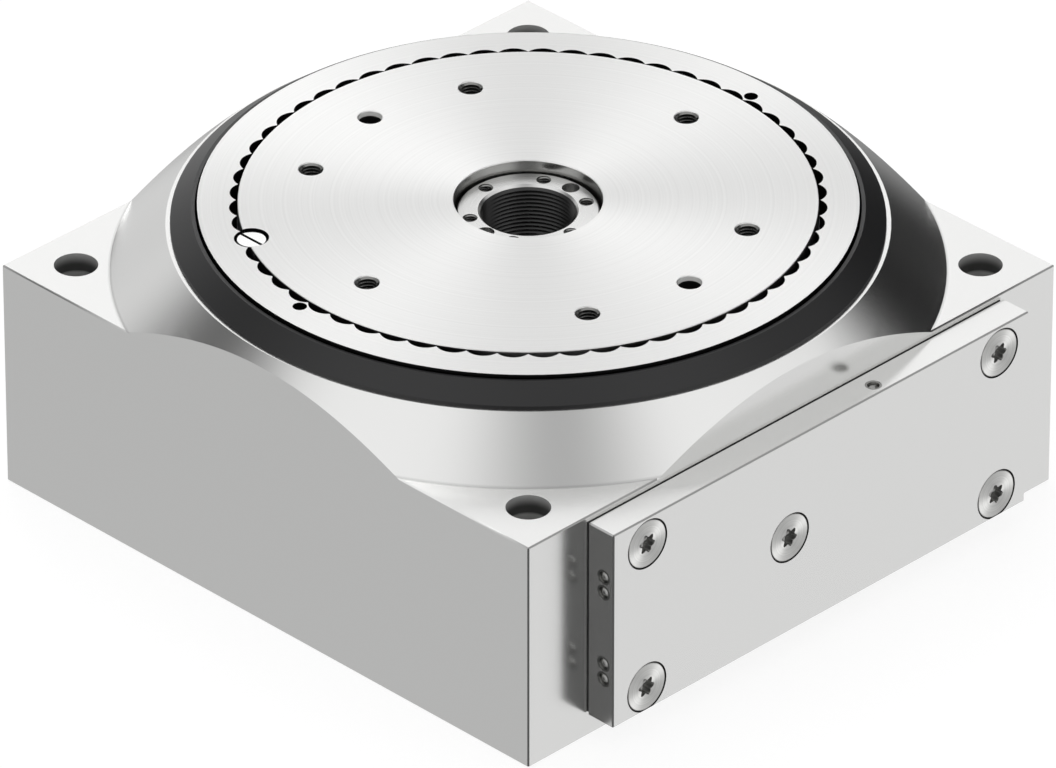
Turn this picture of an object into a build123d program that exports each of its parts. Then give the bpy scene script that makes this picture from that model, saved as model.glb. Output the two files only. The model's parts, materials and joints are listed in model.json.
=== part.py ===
from build123d import *
import os
from math import acos, cos, degrees, pi, radians, sin, sqrt, tan

# Rotary indexing table. Millimetres, +Z up, origin at the centre of the base.
# The screwed cover is on the -Y face.

# Clearances
TURNED_FIT = 0.02  # radial gap of turned pieces pressed or seated in each other
RUNNING_FIT = 0.05  # radial gap of a piece that turns or slides in another
THREAD_FIT = 0.05  # radial gap of a screw in its threaded hole
SCREW_GAP = 0.3  # radial gap of a screw in its clearance hole
HEAD_GAP = 0.2  # radial gap of a socket head in its counterbore
AIR_GAP = 0.8  # gap between faces that pass each other
HEAD_SINK = 0.1  # depth of a flush screw head below its face
SCREW_SHORT = 1.0  # a screw ends this much before its hole does
THREAD_RUNOUT = 2.0  # depth of a blind threaded hole beyond its screw
SPRING_END_GAP = 0.2  # gap at each end of a spring

# Screw heads, as multiples of the shank's radius
HEAD_R_RATIO = 1.65
HEAD_T_RATIO = 1.9
HEX_SOCKET_RATIO = 0.75
FLAT_HEAD_RATIO = 1.8

# Height stack, from the base upwards
HUB_FLANGE_T = 8.0
FLOOR_T = 8.0
THRUST_T = 2.0
PINION_FOOT_T = 7.0
TOOTH_WIDTH = 24.0
PINION_NECK_T = 13.0
WHEEL_T = 9.0
WHEEL_FLOOR_GAP = 1.5
WHEEL_COLLAR_T = 5.0
BEARING_T = 14.0
CLAMP_T = 3.6
FLANGE_T = 4.0
PLATE_T = 12.0
PLATE_STEP = 0.4  # the plate stands this much above the index ring
SEAT_DEPTH = 12.5  # rim above the seat of the clamp ring
CONE_RISE = 17.7  # rim above the corner faces

FLOOR_TOP = HUB_FLANGE_T + FLOOR_T
PINION_Z = FLOOR_TOP + THRUST_T
TOOTH_Z = PINION_Z + PINION_FOOT_T
CYLINDER_Z = TOOTH_Z + TOOTH_WIDTH / 2
WHEEL_Z = TOOTH_Z + TOOTH_WIDTH + PINION_NECK_T
WHEEL_FLOOR = WHEEL_Z - WHEEL_FLOOR_GAP
WHEEL_TOP = WHEEL_Z + WHEEL_T
BEARING_Z = WHEEL_TOP + WHEEL_COLLAR_T
BEARING_MID = BEARING_Z + BEARING_T / 2
BEARING_TOP = BEARING_Z + BEARING_T
CLAMP_TOP = BEARING_TOP + CLAMP_T
FLANGE_Z = CLAMP_TOP + AIR_GAP
FLANGE_TOP = FLANGE_Z + FLANGE_T
PLATE_TOP = FLANGE_TOP + PLATE_T
RING_TOP = PLATE_TOP - PLATE_STEP
RIM_Z = BEARING_TOP + SEAT_DEPTH
CORNER_Z = RIM_Z - CONE_RISE

# Radii from the edge of the table outwards
RING_R = 110.0  # outside of the index ring
COVER_RING_WIDTH = 9.1
RIM_WALL = 2.1
FACE_MARGIN = 2.8  # rim to the nearest side face
CONE_RUN = 18.2
SEAT_R = RING_R + COVER_RING_WIDTH
RIM_R = SEAT_R + RIM_WALL
CONE_FOOT_R = RIM_R + CONE_RUN
BLOCK_HALF = RIM_R + FACE_MARGIN

# Radii from the edge of the table inwards
INDEX_RING_WIDTH = 13.4
CLAMP_LEDGE = 12.1  # housing under the clamp ring, beside the bearing
BEARING_WIDTH = 19.0
WHEEL_STEP = 2.0  # index wheel beyond the bearing's bore
WHEEL_WIDTH = 12.0
COLLAR_STEP = 2.0  # the wheel's collar beyond its teeth
DISC_GAP = 4.0  # between the drive disc and the index wheel
PLATE_R = RING_R - INDEX_RING_WIDTH
BEARING_OUT_R = SEAT_R - CLAMP_LEDGE
BEARING_IN_R = BEARING_OUT_R - BEARING_WIDTH
BEARING_PITCH_R = (BEARING_IN_R + BEARING_OUT_R) / 2
WHEEL_OUT_R = BEARING_IN_R + WHEEL_STEP
WHEEL_IN_R = WHEEL_OUT_R - WHEEL_WIDTH
WHEEL_COLLAR_R = WHEEL_OUT_R + COLLAR_STEP
DISC_R = WHEEL_IN_R - DISC_GAP

# Radii of the hub, from its bore outwards
FEED_R = 14.5
THREAD_STEP = 1.5
HUB_CIRCLE_IN = 4.0  # circle of the small holes beyond the centre thread
HUB_CIRCLE_EDGE = 3.8  # outside of the hub's head beyond that circle
JOURNAL_STEP = 3.2
HUB_SCREW_OUT = 10.0  # circle of the flange screws beyond the journal
HUB_FLANGE_EDGE = 8.9  # edge of the flange beyond its screw circle
THREAD_R = FEED_R + THREAD_STEP
HUB_CIRCLE_R = THREAD_R + HUB_CIRCLE_IN
HUB_TOP_R = HUB_CIRCLE_R + HUB_CIRCLE_EDGE
HUB_JOURNAL_R = HUB_TOP_R + JOURNAL_STEP
HUB_SCREW_CIRCLE_R = HUB_JOURNAL_R + HUB_SCREW_OUT
HUB_FLANGE_R = HUB_SCREW_CIRCLE_R + HUB_FLANGE_EDGE

# Housing
EDGE_CHAMFER = 0.5
RIM_CHAMFER = 0.6
CORNER_HOLE_INSET = 17.5
CORNER_HOLE_R = 7.0

# Pinion and racks
MODULE = 2.0
TEETH = 40
PRESSURE_ANGLE = radians(20)
BACKLASH = 0.12
SWING = 60.0
FLANK_POINTS = 4
FLANK_START = 0.1  # the involute starts this much outside its base circle
DEDENDUM = 1.25 * MODULE
RACK_TEETH = 11
CHAMBER_GAP = 2.0
BOSS_DROP = 0.5  # the pinion's bosses below the roots of its teeth
PITCH_R = MODULE * TEETH / 2
TIP_R = PITCH_R + MODULE
ROOT_R = PITCH_R - DEDENDUM
PINION_BOSS_R = ROOT_R - BOSS_DROP
RACK_PITCH = pi * MODULE
STROKE = PITCH_R * radians(SWING)
CHAMBER_R = TIP_R + CHAMBER_GAP

# Cylinders, side by side along Y, and their pistons
CYLINDER_R = 20.0
RACK_OFFSET = 8.0  # cylinder axis beyond the pitch line of the rack
RACK_BAR_GAP = 3.0
PISTON_T = 15.0
PISTON_CLEAR_Y = 56.0  # inner face of a piston from the middle of its rack
SEAL_DEPTH = 2.5
SEAL_T = 4.0
SEAL_SIDE_GAP = 0.1
BUMPER_IN_R = 13.2
BUMPER_OUT_R = 16.5
BUMPER_T = 4.6
BUMPER_GAP = 0.4
PISTON_SCREW_R = 4.0
PISTON_SCREW_HEAD_R = 6.5
PISTON_SCREW_HEAD_T = 8.0
PISTON_SCREW_GRIP = 14.0
CYLINDER_X = PITCH_R + RACK_OFFSET
RACK_BAR_R = CYLINDER_R - RACK_BAR_GAP
PISTON_REACH = STROKE / 2 + PISTON_CLEAR_Y + PISTON_T
CYLINDER_END_Y = PISTON_REACH + BUMPER_GAP + BUMPER_T
END_PLUG_LENGTH = BLOCK_HALF - CYLINDER_END_Y

# Hub
HUB_SINK = 4.2  # hub face below the plate
THREAD_LENGTH = 30.0
THREAD_LEAD = 0.8
HUB_THREAD_COUNT = 6
HUB_THREAD_R = 2.5
HUB_THREAD_DEPTH = 12.0
HUB_DOWEL_R = 3.0
HUB_DOWEL_DEPTH = 8.0
HUB_SCREW_R = 3.0
HUB_SCREW_COUNT = 6
JOURNAL_RISE = 0.2  # journal above the drive disc
CLIP_T = 1.5
CLIP_RISE = 4.5
CLIP_GROOVE = 1.3
CLIP_GAP_ANGLE = 24.0
DOWEL_COUNT = 2
HUB_Z = PLATE_TOP - HUB_SINK
JOURNAL_TOP = WHEEL_TOP + JOURNAL_RISE

# Bushes and thrust washers of the pinion
BUSH_WALL = 2.0
BUSH_LENGTH = 12.0
THRUST_WIDTH = 6.0
PINION_BORE_R = HUB_JOURNAL_R + BUSH_WALL
THRUST_R = HUB_JOURNAL_R + THRUST_WIDTH

# Drive disc and pawl
DISC_SCREW_R = 2.0
DISC_SCREW_EDGE = 0.5  # wall between the disc's bore and a counterbore
DISC_SCREW_COUNT = 6
PAWL_WIDTH = 12.0
PAWL_T = 6.0
PAWL_SLOT_OUT = 11.0  # inner end of the slot beyond the journal
PAWL_SPRING_ROOM = 7.0
PAWL_SPRING_R = 2.0
PAWL_SPRING_WIRE_R = 0.45
PAWL_TRAVEL = 3.6
KEEPER_T = 2.0
KEEPER_WIDTH = 28.0
KEEPER_EDGE = 9.0  # keeper inside the edge of the disc
KEEPER_SCREW_IN = 10.0  # keeper screws inside the keeper's outer edge
SPRING_TURNS = 3
DISC_SEAT_R = HEAD_R_RATIO * DISC_SCREW_R + HEAD_GAP
DISC_SCREW_CIRCLE_R = PINION_BORE_R + DISC_SCREW_EDGE + DISC_SEAT_R
PAWL_SLOT_X = HUB_JOURNAL_R + PAWL_SLOT_OUT
PAWL_REAR_X = PAWL_SLOT_X + PAWL_SPRING_ROOM

# Index wheel
NOTCHES = 60
NOTCH_ANGLE = 360 / NOTCHES
WHEEL_SPACE = 2.0
IN_NOTCH_DEPTH = 2.5
IN_NOTCH_HALF = 2.5
IN_NOTCH_SLOPE = 0.48
OUT_NOTCH_DEPTH = 2.6
OUT_NOTCH_HALF = 3.0
OUT_NOTCH_SLOPE = 0.5
NOTCH_SIDE_GAP = 0.2
NOTCH_END_GAP = 0.3
NOSE_LENGTH = 3.4
WHEEL_SCREW_R = 2.0
WHEEL_SCREW_COUNT = 6
SMALL_SCREW_GRIP = 8.0

# Locking bolt at the back
BOLT_R = 4.4
LOCK_PISTON_R = 8.0
LOCK_PISTON_T = 4.5
LOCK_BORE_DEPTH = 20.0
LOCK_TRAVEL = 3.6
LOCK_SPRING_R = 5.5
LOCK_SPRING_WIRE_R = 0.7
CAP_T = 5.0
CAP_SLOT_T = 1.6
LOCK_Z = WHEEL_Z + WHEEL_T / 2
LOCK_STEP_Y = BLOCK_HALF - LOCK_BORE_DEPTH
LOCK_PISTON_Y = LOCK_STEP_Y + LOCK_TRAVEL + NOTCH_END_GAP

# Crossed-roller bearing
ROLLER_R = 3.5
ROLLER_LENGTH = 6.8
ROLLER_COUNT = 30
ROLLER_GAP = 0.1
RACE_SPLIT = 1.2
CAGE_T = 0.7
CAGE_RAIL = 1.0
CAGE_WINDOW_GAP = 0.4
RACE_RELIEF = 1.0
RACE_RELIEF_T = 1.5

# Carrier, plate, index ring
SLEEVE_WALL = 9.0
CARRIER_T = 10.0
CARRIER_INSET = 1.0  # carrier inside the edge of the index ring
CARRIER_SHOULDER_IN = 1.5  # carrier's shoulder inside the bearing's pitch circle
CARRIER_BORE_GAP = 1.7
SEAL_WIDTH = 4.5
SEAL_LIP_GAP = 0.3
SEAL_LIP_T = 2.0
SEAL_LIP_RISE = 3.0
SEAL_FLOOR_T = 3.6
PLATE_BORE_GAP = 1.0
PLATE_EDGE_CHAMFER = 0.3
PLATE_CIRCLE_R = 75.0
PLATE_THREAD_COUNT = 6
PLATE_THREAD_R = 4.0
PLATE_DOWEL_R = 4.0
PLATE_DOWEL_ANGLE = 90.0
HOLE_CHAMFER = 0.4
PLATE_SCREW_R = 3.0
PLATE_SCREW_CIRCLE_R = 55.0
PLATE_SCREW_COUNT = 6
RING_GAP = 0.5
POCKET_R = 6.5
JACK_COUNT = 2
JACK_OUT = 4.2  # circle of the jacking holes beyond the plate
JACK_R = 2.4
JACK_DEPTH = 8.0
JACK_ANGLE = -3.0
RING_SCREW_R = 2.0
RING_SCREW_IN = 6.0  # circle of the ring's screws inside its edge
RING_SCREW_COUNT = 6
KEY_R = 5.8
KEY_IN = 1.9  # centre of the key screw inside the plate's edge
KEY_ANGLE = 150.0
KEY_DEPTH = 10.0
KEY_SLOT_T = 1.2
KEY_SLOT_DEPTH = 1.5
KEY_CHAMFER = 0.5
CARRIER_R = RING_R - CARRIER_INSET
CARRIER_BORE_R = HUB_TOP_R + CARRIER_BORE_GAP
CARRIER_Z = FLANGE_TOP - CARRIER_T
SEAL_SEAT_R = CARRIER_BORE_R + SEAL_WIDTH
SEAL_Z = CARRIER_Z + SEAL_FLOOR_T
PLATE_BORE_R = HUB_TOP_R + PLATE_BORE_GAP

# Clamp ring and black cover ring
CLAMP_GRIP = 6.0  # clamp ring over the outer race
CLAMP_SCREW_IN = 7.7  # circle of the clamp screws inside the seat
CLAMP_SCREW_COUNT = 8
CLAMP_SCREW_R = 2.0
LIP_GAP = 0.8
LIP_LAND = 1.3
LIP_DROP = 1.2
LIP_T = 4.0
SHOULDER_RISE = 1.0
RING_WALL = 3.5

# Side cover on the -Y face
GASKET_T = 0.5
COVER_T = 11.6
COVER_LEFT_INSET = 26.8
COVER_RIGHT_INSET = 25.4
COVER_Z = 8.4
COVER_TOP_GAP = 1.9  # cover below the corner faces
GASKET_INSET = 0.8
COVER_SCREW_R = 5.0
COVER_SCREW_HEAD_R = 8.8
COVER_SCREW_GRIP = 18.0
SCREW_LEFT_INSET = 15.7
SCREW_RIGHT_INSET = 14.1
SCREW_TOP_INSET = 10.1
SCREW_BOTTOM_INSET = 9.1
MIDDLE_SCREW_X = -14.9  # between the two cylinders
CHANNEL_R = 1.7
CHANNEL_IN_Y = 7.6  # channel axis in front of the housing face
CHANNEL_TOPS = (17.9, 23.8, 51.3, 57.2)  # channel axes below the cover's top edge
CHANNEL_OVERRUN = 1.0  # drilled this much past the channel that it meets
DOWN_CHANNEL_X = 28.7
PLUG_R = 2.85
PLUG_T = 5.0
PLUG_CUP_R = 2.1
PLUG_CUP_DEPTH = 1.2
PLUG_BALL_RISE = 0.9
COVER_LEFT_X = COVER_LEFT_INSET - BLOCK_HALF
COVER_RIGHT_X = BLOCK_HALF - COVER_RIGHT_INSET
COVER_TOP_Z = CORNER_Z - COVER_TOP_GAP
COVER_FACE_Y = -BLOCK_HALF - GASKET_T - COVER_T

# Ports on the +Y face
PORT_R = 4.86
PORT_DEPTH = 12.0
PORT_CHANNEL_R = 2.5
LOCK_PORT_X = 20.0
LOCK_PORT_R = 2.5
LOCK_CHANNEL_R = 1.2


def turned(points):
    """Solid of revolution about Z from (radius, height) points."""
    outline = Polyline(*[(r, 0, z) for r, z in points], close=True)
    return revolve(make_face(outline), axis=Axis.Z)


def ring(inner, outer, low, high):
    """Plain ring about Z."""
    return turned([(inner, low), (outer, low), (outer, high), (inner, high)])


def rod(radius, start, direction, length):
    """Cylinder from a start point along a direction."""
    return Solid.make_cylinder(radius, length, Plane(origin=start, z_dir=direction))


def cone(wide, narrow, start, direction, length):
    """Frustum that is wide at its start."""
    return Solid.make_cone(wide, narrow, length, Plane(origin=start, z_dir=direction))


def block(low, high):
    """Box between two opposite corners."""
    size = [b - a for a, b in zip(low, high)]
    return Pos(*low) * Box(*size, align=(Align.MIN, Align.MIN, Align.MIN))


def circle_points(count, radius, z, first=0.0):
    """Evenly spaced points on a circle about Z, the first at an angle in degrees."""
    angles = [radians(first + 360 * k / count) for k in range(count)]
    return [(radius * cos(a), radius * sin(a), z) for a in angles]


def between_points(count, radius, z):
    """Evenly spaced points on a circle about Z that start half a step from +X."""
    return circle_points(count, radius, z, 180 / count)


def spun(points, count):
    """Outline of a (radius, offset) profile repeated round Z."""
    outline = []
    for k in range(count):
        a = radians(360 * k / count)
        outline += [(r * cos(a) - t * sin(a), r * sin(a) + t * cos(a)) for r, t in points]
    return make_face(Polyline(*outline, close=True))


def slab(face, low, high):
    """Extrude a flat face between two heights."""
    return extrude(Pos(0, 0, low) * face, amount=high - low)


def sunk_head(head_r, shank_r, face, direction):
    """90 degree countersink seat that starts at a face."""
    return cone(head_r, shank_r, face, direction, head_r - shank_r)


def sunk_screw(radius, head_r, face, direction, length):
    """Countersunk screw whose flat head is just below a face."""
    top = Vector(*face) + Vector(*direction) * HEAD_SINK
    head = sunk_head(head_r, radius, top, direction)
    return head + rod(radius, top, direction, length)


def counterbore_r(radius):
    """Radius of the counterbore for a socket screw's head."""
    return HEAD_R_RATIO * radius + HEAD_GAP


def cap_screw(radius, head_r, head_t, seat, direction, length):
    """Socket screw: the head stands behind its seat, the shank runs along the direction."""
    head = rod(head_r, Vector(*seat) - Vector(*direction) * head_t, direction, head_t)
    socket_start = Vector(*seat) - Vector(*direction) * head_t
    socket = extrude(
        Plane(origin=socket_start, z_dir=direction)
        * RegularPolygon(HEX_SOCKET_RATIO * radius, 6),
        amount=head_t / 2,
    )
    return head - socket + rod(radius, seat, direction, length)


def small_cap_screw(radius, seat, direction, length):
    """Socket screw with a head in proportion to its shank."""
    return cap_screw(radius, HEAD_R_RATIO * radius, HEAD_T_RATIO * radius, seat, direction, length)


def flush_screws(radius, points, direction, length):
    """Countersunk screws with heads in proportion to their shanks."""
    head = FLAT_HEAD_RATIO * radius - HEAD_SINK
    return Compound(children=[sunk_screw(radius, head, p, direction, length) for p in points])


# Housing


def housing_outside():
    """Square block with the cone and the rim turned on top."""
    base = block((-BLOCK_HALF, -BLOCK_HALF, 0), (BLOCK_HALF, BLOCK_HALF, CORNER_Z))
    base = chamfer(base.edges(), EDGE_CHAMFER)
    flank = (CONE_FOOT_R - RIM_R) / CONE_RISE
    low = CORNER_Z - 2 * EDGE_CHAMFER
    top = turned(
        [
            (0, low),
            (CONE_FOOT_R + flank * 2 * EDGE_CHAMFER, low),
            (RIM_R, RIM_Z - RIM_CHAMFER),
            (RIM_R - RIM_CHAMFER, RIM_Z),
            (0, RIM_Z),
        ]
    )
    prism = block((-BLOCK_HALF, -BLOCK_HALF, 0), (BLOCK_HALF, BLOCK_HALF, RIM_Z))
    return base + (top & prism)


def housing_cavity():
    """Everything turned out of the housing about Z."""
    chamber_wide = WHEEL_COLLAR_R + WHEEL_SPACE
    relief_r = BEARING_PITCH_R + RACE_RELIEF
    return turned(
        [
            (0, 0),
            (HUB_FLANGE_R + RUNNING_FIT, 0),
            (HUB_FLANGE_R + RUNNING_FIT, HUB_FLANGE_T),
            (HUB_JOURNAL_R + TURNED_FIT, HUB_FLANGE_T),
            (HUB_JOURNAL_R + TURNED_FIT, FLOOR_TOP),
            (CHAMBER_R, FLOOR_TOP),
            (CHAMBER_R, WHEEL_FLOOR),
            (chamber_wide, WHEEL_FLOOR),
            (chamber_wide, BEARING_Z - RACE_RELIEF_T),
            (relief_r, BEARING_Z - RACE_RELIEF_T),
            (relief_r, BEARING_Z),
            (BEARING_OUT_R + TURNED_FIT, BEARING_Z),
            (BEARING_OUT_R + TURNED_FIT, BEARING_TOP),
            (SEAT_R, BEARING_TOP),
            (SEAT_R, RIM_Z),
            (0, RIM_Z),
        ]
    )


def corner_points():
    """Centres of the corner mounting holes at the base."""
    half = BLOCK_HALF - CORNER_HOLE_INSET
    return [(x, y, 0) for x in (-half, half) for y in (-half, half)]


def cover_screw_points():
    """Centres of the cover screws in the face plane, as (x, z)."""
    left = COVER_LEFT_X + SCREW_LEFT_INSET
    right = COVER_RIGHT_X - SCREW_RIGHT_INSET
    top = COVER_TOP_Z - SCREW_TOP_INSET
    bottom = COVER_Z + SCREW_BOTTOM_INSET
    middle = (MIDDLE_SCREW_X, (top + bottom) / 2)
    return [(left, top), (left, bottom), middle, (right, top), (right, bottom)]


def lock_passages():
    """Stepped bore of the locking bolt and its air port."""
    centre = (0, 0, LOCK_Z)
    port = (LOCK_PORT_X, BLOCK_HALF, LOCK_Z)
    across_y = LOCK_STEP_Y + LOCK_CHANNEL_R + NOTCH_END_GAP
    port_end_y = across_y - 2 * LOCK_CHANNEL_R
    return [
        rod(BOLT_R + RUNNING_FIT, centre, (0, 1, 0), BLOCK_HALF),
        rod(LOCK_PISTON_R, (0, LOCK_STEP_Y, LOCK_Z), (0, 1, 0), BLOCK_HALF - LOCK_STEP_Y),
        rod(LOCK_PORT_R, port, (0, -1, 0), BLOCK_HALF - port_end_y),
        rod(LOCK_CHANNEL_R, (0, across_y, LOCK_Z), (1, 0, 0), LOCK_PORT_X),
    ]


def housing():
    """Housing with its bores, holes and ports."""
    tools = [housing_cavity()]
    for side in (-1, 1):
        mouth = (side * CYLINDER_X, -BLOCK_HALF, CYLINDER_Z)
        tools.append(rod(CYLINDER_R, mouth, (0, 1, 0), BLOCK_HALF + CYLINDER_END_Y))
        back = (side * CYLINDER_X, BLOCK_HALF, CYLINDER_Z)
        tools.append(rod(PORT_R, back, (0, -1, 0), PORT_DEPTH))
        tools.append(rod(PORT_CHANNEL_R, back, (0, -1, 0), BLOCK_HALF - CYLINDER_END_Y))
    tools += [rod(CORNER_HOLE_R, p, (0, 0, 1), CORNER_Z) for p in corner_points()]
    depth = COVER_SCREW_GRIP + THREAD_RUNOUT
    for x, z in cover_screw_points():
        tools.append(rod(COVER_SCREW_R + THREAD_FIT, (x, -BLOCK_HALF, z), (0, 1, 0), depth))
    depth = SMALL_SCREW_GRIP + THREAD_RUNOUT
    for p in clamp_screw_points(BEARING_TOP):
        tools.append(rod(CLAMP_SCREW_R + THREAD_FIT, p, (0, 0, -1), depth))
    for p in hub_screw_points(HUB_FLANGE_T):
        tools.append(rod(HUB_SCREW_R + THREAD_FIT, p, (0, 0, 1), FLOOR_T))
    return housing_outside() - tools - lock_passages()


# Fixed hub and what it carries


def hub_screw_points(z):
    """Centres of the hub's flange screws."""
    return between_points(HUB_SCREW_COUNT, HUB_SCREW_CIRCLE_R, z)


def central_hub():
    """Hollow hub: flange below, journal for the pinion, threaded head."""
    body = turned(
        [
            (FEED_R, 0),
            (HUB_FLANGE_R, 0),
            (HUB_FLANGE_R, HUB_FLANGE_T),
            (HUB_JOURNAL_R, HUB_FLANGE_T),
            (HUB_JOURNAL_R, JOURNAL_TOP),
            (HUB_TOP_R, JOURNAL_TOP),
            (HUB_TOP_R, HUB_Z - EDGE_CHAMFER),
            (HUB_TOP_R - EDGE_CHAMFER, HUB_Z),
            (THREAD_R + THREAD_LEAD, HUB_Z),
            (THREAD_R, HUB_Z - THREAD_LEAD),
            (THREAD_R, HUB_Z - THREAD_LENGTH),
            (FEED_R, HUB_Z - THREAD_LENGTH),
        ]
    )
    tools = [ring(HUB_TOP_R - CLIP_GROOVE, HUB_JOURNAL_R, clip_z(), clip_z() + CLIP_T)]
    for p in between_points(HUB_THREAD_COUNT, HUB_CIRCLE_R, HUB_Z):
        tools.append(rod(HUB_THREAD_R, p, (0, 0, -1), HUB_THREAD_DEPTH))
    for p in circle_points(DOWEL_COUNT, HUB_CIRCLE_R, HUB_Z):
        tools.append(rod(HUB_DOWEL_R, p, (0, 0, -1), HUB_DOWEL_DEPTH))
    for p in hub_screw_points(0):
        tools.append(rod(HUB_SCREW_R + SCREW_GAP, p, (0, 0, 1), HUB_FLANGE_T))
        tools.append(sunk_head(FLAT_HEAD_RATIO * HUB_SCREW_R, HUB_SCREW_R, p, (0, 0, 1)))
    return body - tools


def hub_screws():
    """Countersunk screws from below through the hub's flange."""
    length = HUB_FLANGE_T + FLOOR_T - SCREW_SHORT
    return flush_screws(HUB_SCREW_R, hub_screw_points(0), (0, 0, 1), length)


def clip_z():
    """Underside of the retaining ring."""
    return JOURNAL_TOP + THRUST_T


def thrust_washers():
    """Washers under the pinion and over the drive disc."""
    lower = ring(HUB_JOURNAL_R + RUNNING_FIT, THRUST_R, FLOOR_TOP, PINION_Z - RUNNING_FIT)
    upper = ring(HUB_TOP_R + RUNNING_FIT, THRUST_R, JOURNAL_TOP, JOURNAL_TOP + THRUST_T)
    return Compound(children=[lower, upper])


def retaining_ring():
    """Open spring ring in the hub's groove."""
    body = ring(
        HUB_TOP_R - CLIP_GROOVE + RUNNING_FIT,
        HUB_TOP_R + CLIP_RISE,
        clip_z() + TURNED_FIT,
        clip_z() + CLIP_T - TURNED_FIT,
    )
    half = HUB_TOP_R * tan(radians(CLIP_GAP_ANGLE / 2))
    gap = block((0, -half, clip_z()), (2 * HUB_TOP_R, half, clip_z() + CLIP_T))
    return body - gap


# Pinion, bushes, drive disc, pawl


def involute_angle(radius, base_r):
    """Polar angle of the involute at a radius."""
    pressure = acos(base_r / radius)
    return tan(pressure) - pressure


def tooth_profile():
    """One pinion tooth about +X as (radius, offset) points, from root to root."""
    base_r = PITCH_R * cos(PRESSURE_ANGLE)
    half = pi / (2 * TEETH) - BACKLASH / (4 * PITCH_R) + involute_angle(PITCH_R, base_r)
    low = max(base_r, ROOT_R) + FLANK_START
    flank = []
    for k in range(FLANK_POINTS):
        r = low + (TIP_R - low) * k / (FLANK_POINTS - 1)
        a = half - involute_angle(r, base_r)
        flank.append((r * cos(a), r * sin(a)))
    root = (ROOT_R * cos(half), ROOT_R * sin(half))
    side = [root] + flank
    return [(x, -y) for x, y in side] + side[::-1]


def drive_pinion():
    """Toothed pinion with a foot and a neck."""
    teeth = slab(spun(tooth_profile(), TEETH), TOOTH_Z, TOOTH_Z + TOOTH_WIDTH)
    bosses = rod(PINION_BOSS_R, (0, 0, PINION_Z), (0, 0, 1), WHEEL_Z - PINION_Z)
    bore = rod(PINION_BORE_R, (0, 0, PINION_Z), (0, 0, 1), WHEEL_Z - PINION_Z)
    threads = [
        rod(DISC_SCREW_R + THREAD_FIT, p, (0, 0, -1), SMALL_SCREW_GRIP + THREAD_RUNOUT)
        for p in disc_screw_points(WHEEL_Z)
    ]
    return teeth + bosses - bore - threads


def pinion_bushes():
    """Two plain bushes pressed into the pinion."""
    inner = HUB_JOURNAL_R + RUNNING_FIT
    outer = PINION_BORE_R - TURNED_FIT
    lower = ring(inner, outer, PINION_Z, PINION_Z + BUSH_LENGTH)
    upper = ring(inner, outer, WHEEL_TOP - BUSH_LENGTH, WHEEL_TOP)
    return Compound(children=[lower, upper])


def disc_screw_points(z):
    """Centres of the drive disc's screws, clear of the pawl slot."""
    return between_points(DISC_SCREW_COUNT, DISC_SCREW_CIRCLE_R, z)


def drive_disc():
    """Disc on the pinion with the radial slot of the pawl."""
    body = ring(PINION_BORE_R, DISC_R, WHEEL_Z, WHEEL_TOP)
    half = PAWL_WIDTH / 2
    slot = block((PAWL_SLOT_X, -half, WHEEL_TOP - PAWL_T), (DISC_R, half, WHEEL_TOP))
    tools = [slot]
    for p in disc_screw_points(WHEEL_Z):
        tools.append(rod(DISC_SCREW_R + SCREW_GAP, p, (0, 0, 1), WHEEL_T))
    for p in disc_screw_points(WHEEL_TOP):
        tools.append(rod(DISC_SEAT_R, p, (0, 0, -1), 2 * DISC_SCREW_R))
    for x, y, z in keeper_screw_points():
        tools.append(rod(DISC_SCREW_R + THREAD_FIT, (x, y, WHEEL_TOP), (0, 0, -1), PAWL_T))
    return body - tools


def disc_screws():
    """Socket screws that hold the drive disc on the pinion."""
    seat_z = WHEEL_TOP - 2 * DISC_SCREW_R
    length = WHEEL_T - 2 * DISC_SCREW_R + SMALL_SCREW_GRIP
    points = disc_screw_points(seat_z)
    return Compound(
        children=[small_cap_screw(DISC_SCREW_R, p, (0, 0, -1), length) for p in points]
    )


def keeper_screw_points():
    """Centres of the two screws of the pawl keeper."""
    x = DISC_R - KEEPER_EDGE - KEEPER_SCREW_IN
    y = (PAWL_WIDTH + KEEPER_WIDTH) / 4
    return [(x, -y, WHEEL_TOP + KEEPER_T), (x, y, WHEEL_TOP + KEEPER_T)]


def pawl_keeper():
    """Plate that closes the pawl slot from above."""
    half = KEEPER_WIDTH / 2
    body = block(
        (PAWL_SLOT_X, -half, WHEEL_TOP),
        (DISC_R - KEEPER_EDGE, half, WHEEL_TOP + KEEPER_T),
    )
    tools = []
    for p in keeper_screw_points():
        tools.append(rod(DISC_SCREW_R + SCREW_GAP, p, (0, 0, -1), KEEPER_T))
        tools.append(sunk_head(FLAT_HEAD_RATIO * DISC_SCREW_R, DISC_SCREW_R, p, (0, 0, -1)))
    return body - tools


def keeper_screws():
    """Countersunk screws of the pawl keeper."""
    length = KEEPER_T + PAWL_T - SCREW_SHORT
    return flush_screws(DISC_SCREW_R, keeper_screw_points(), (0, 0, -1), length)


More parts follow.
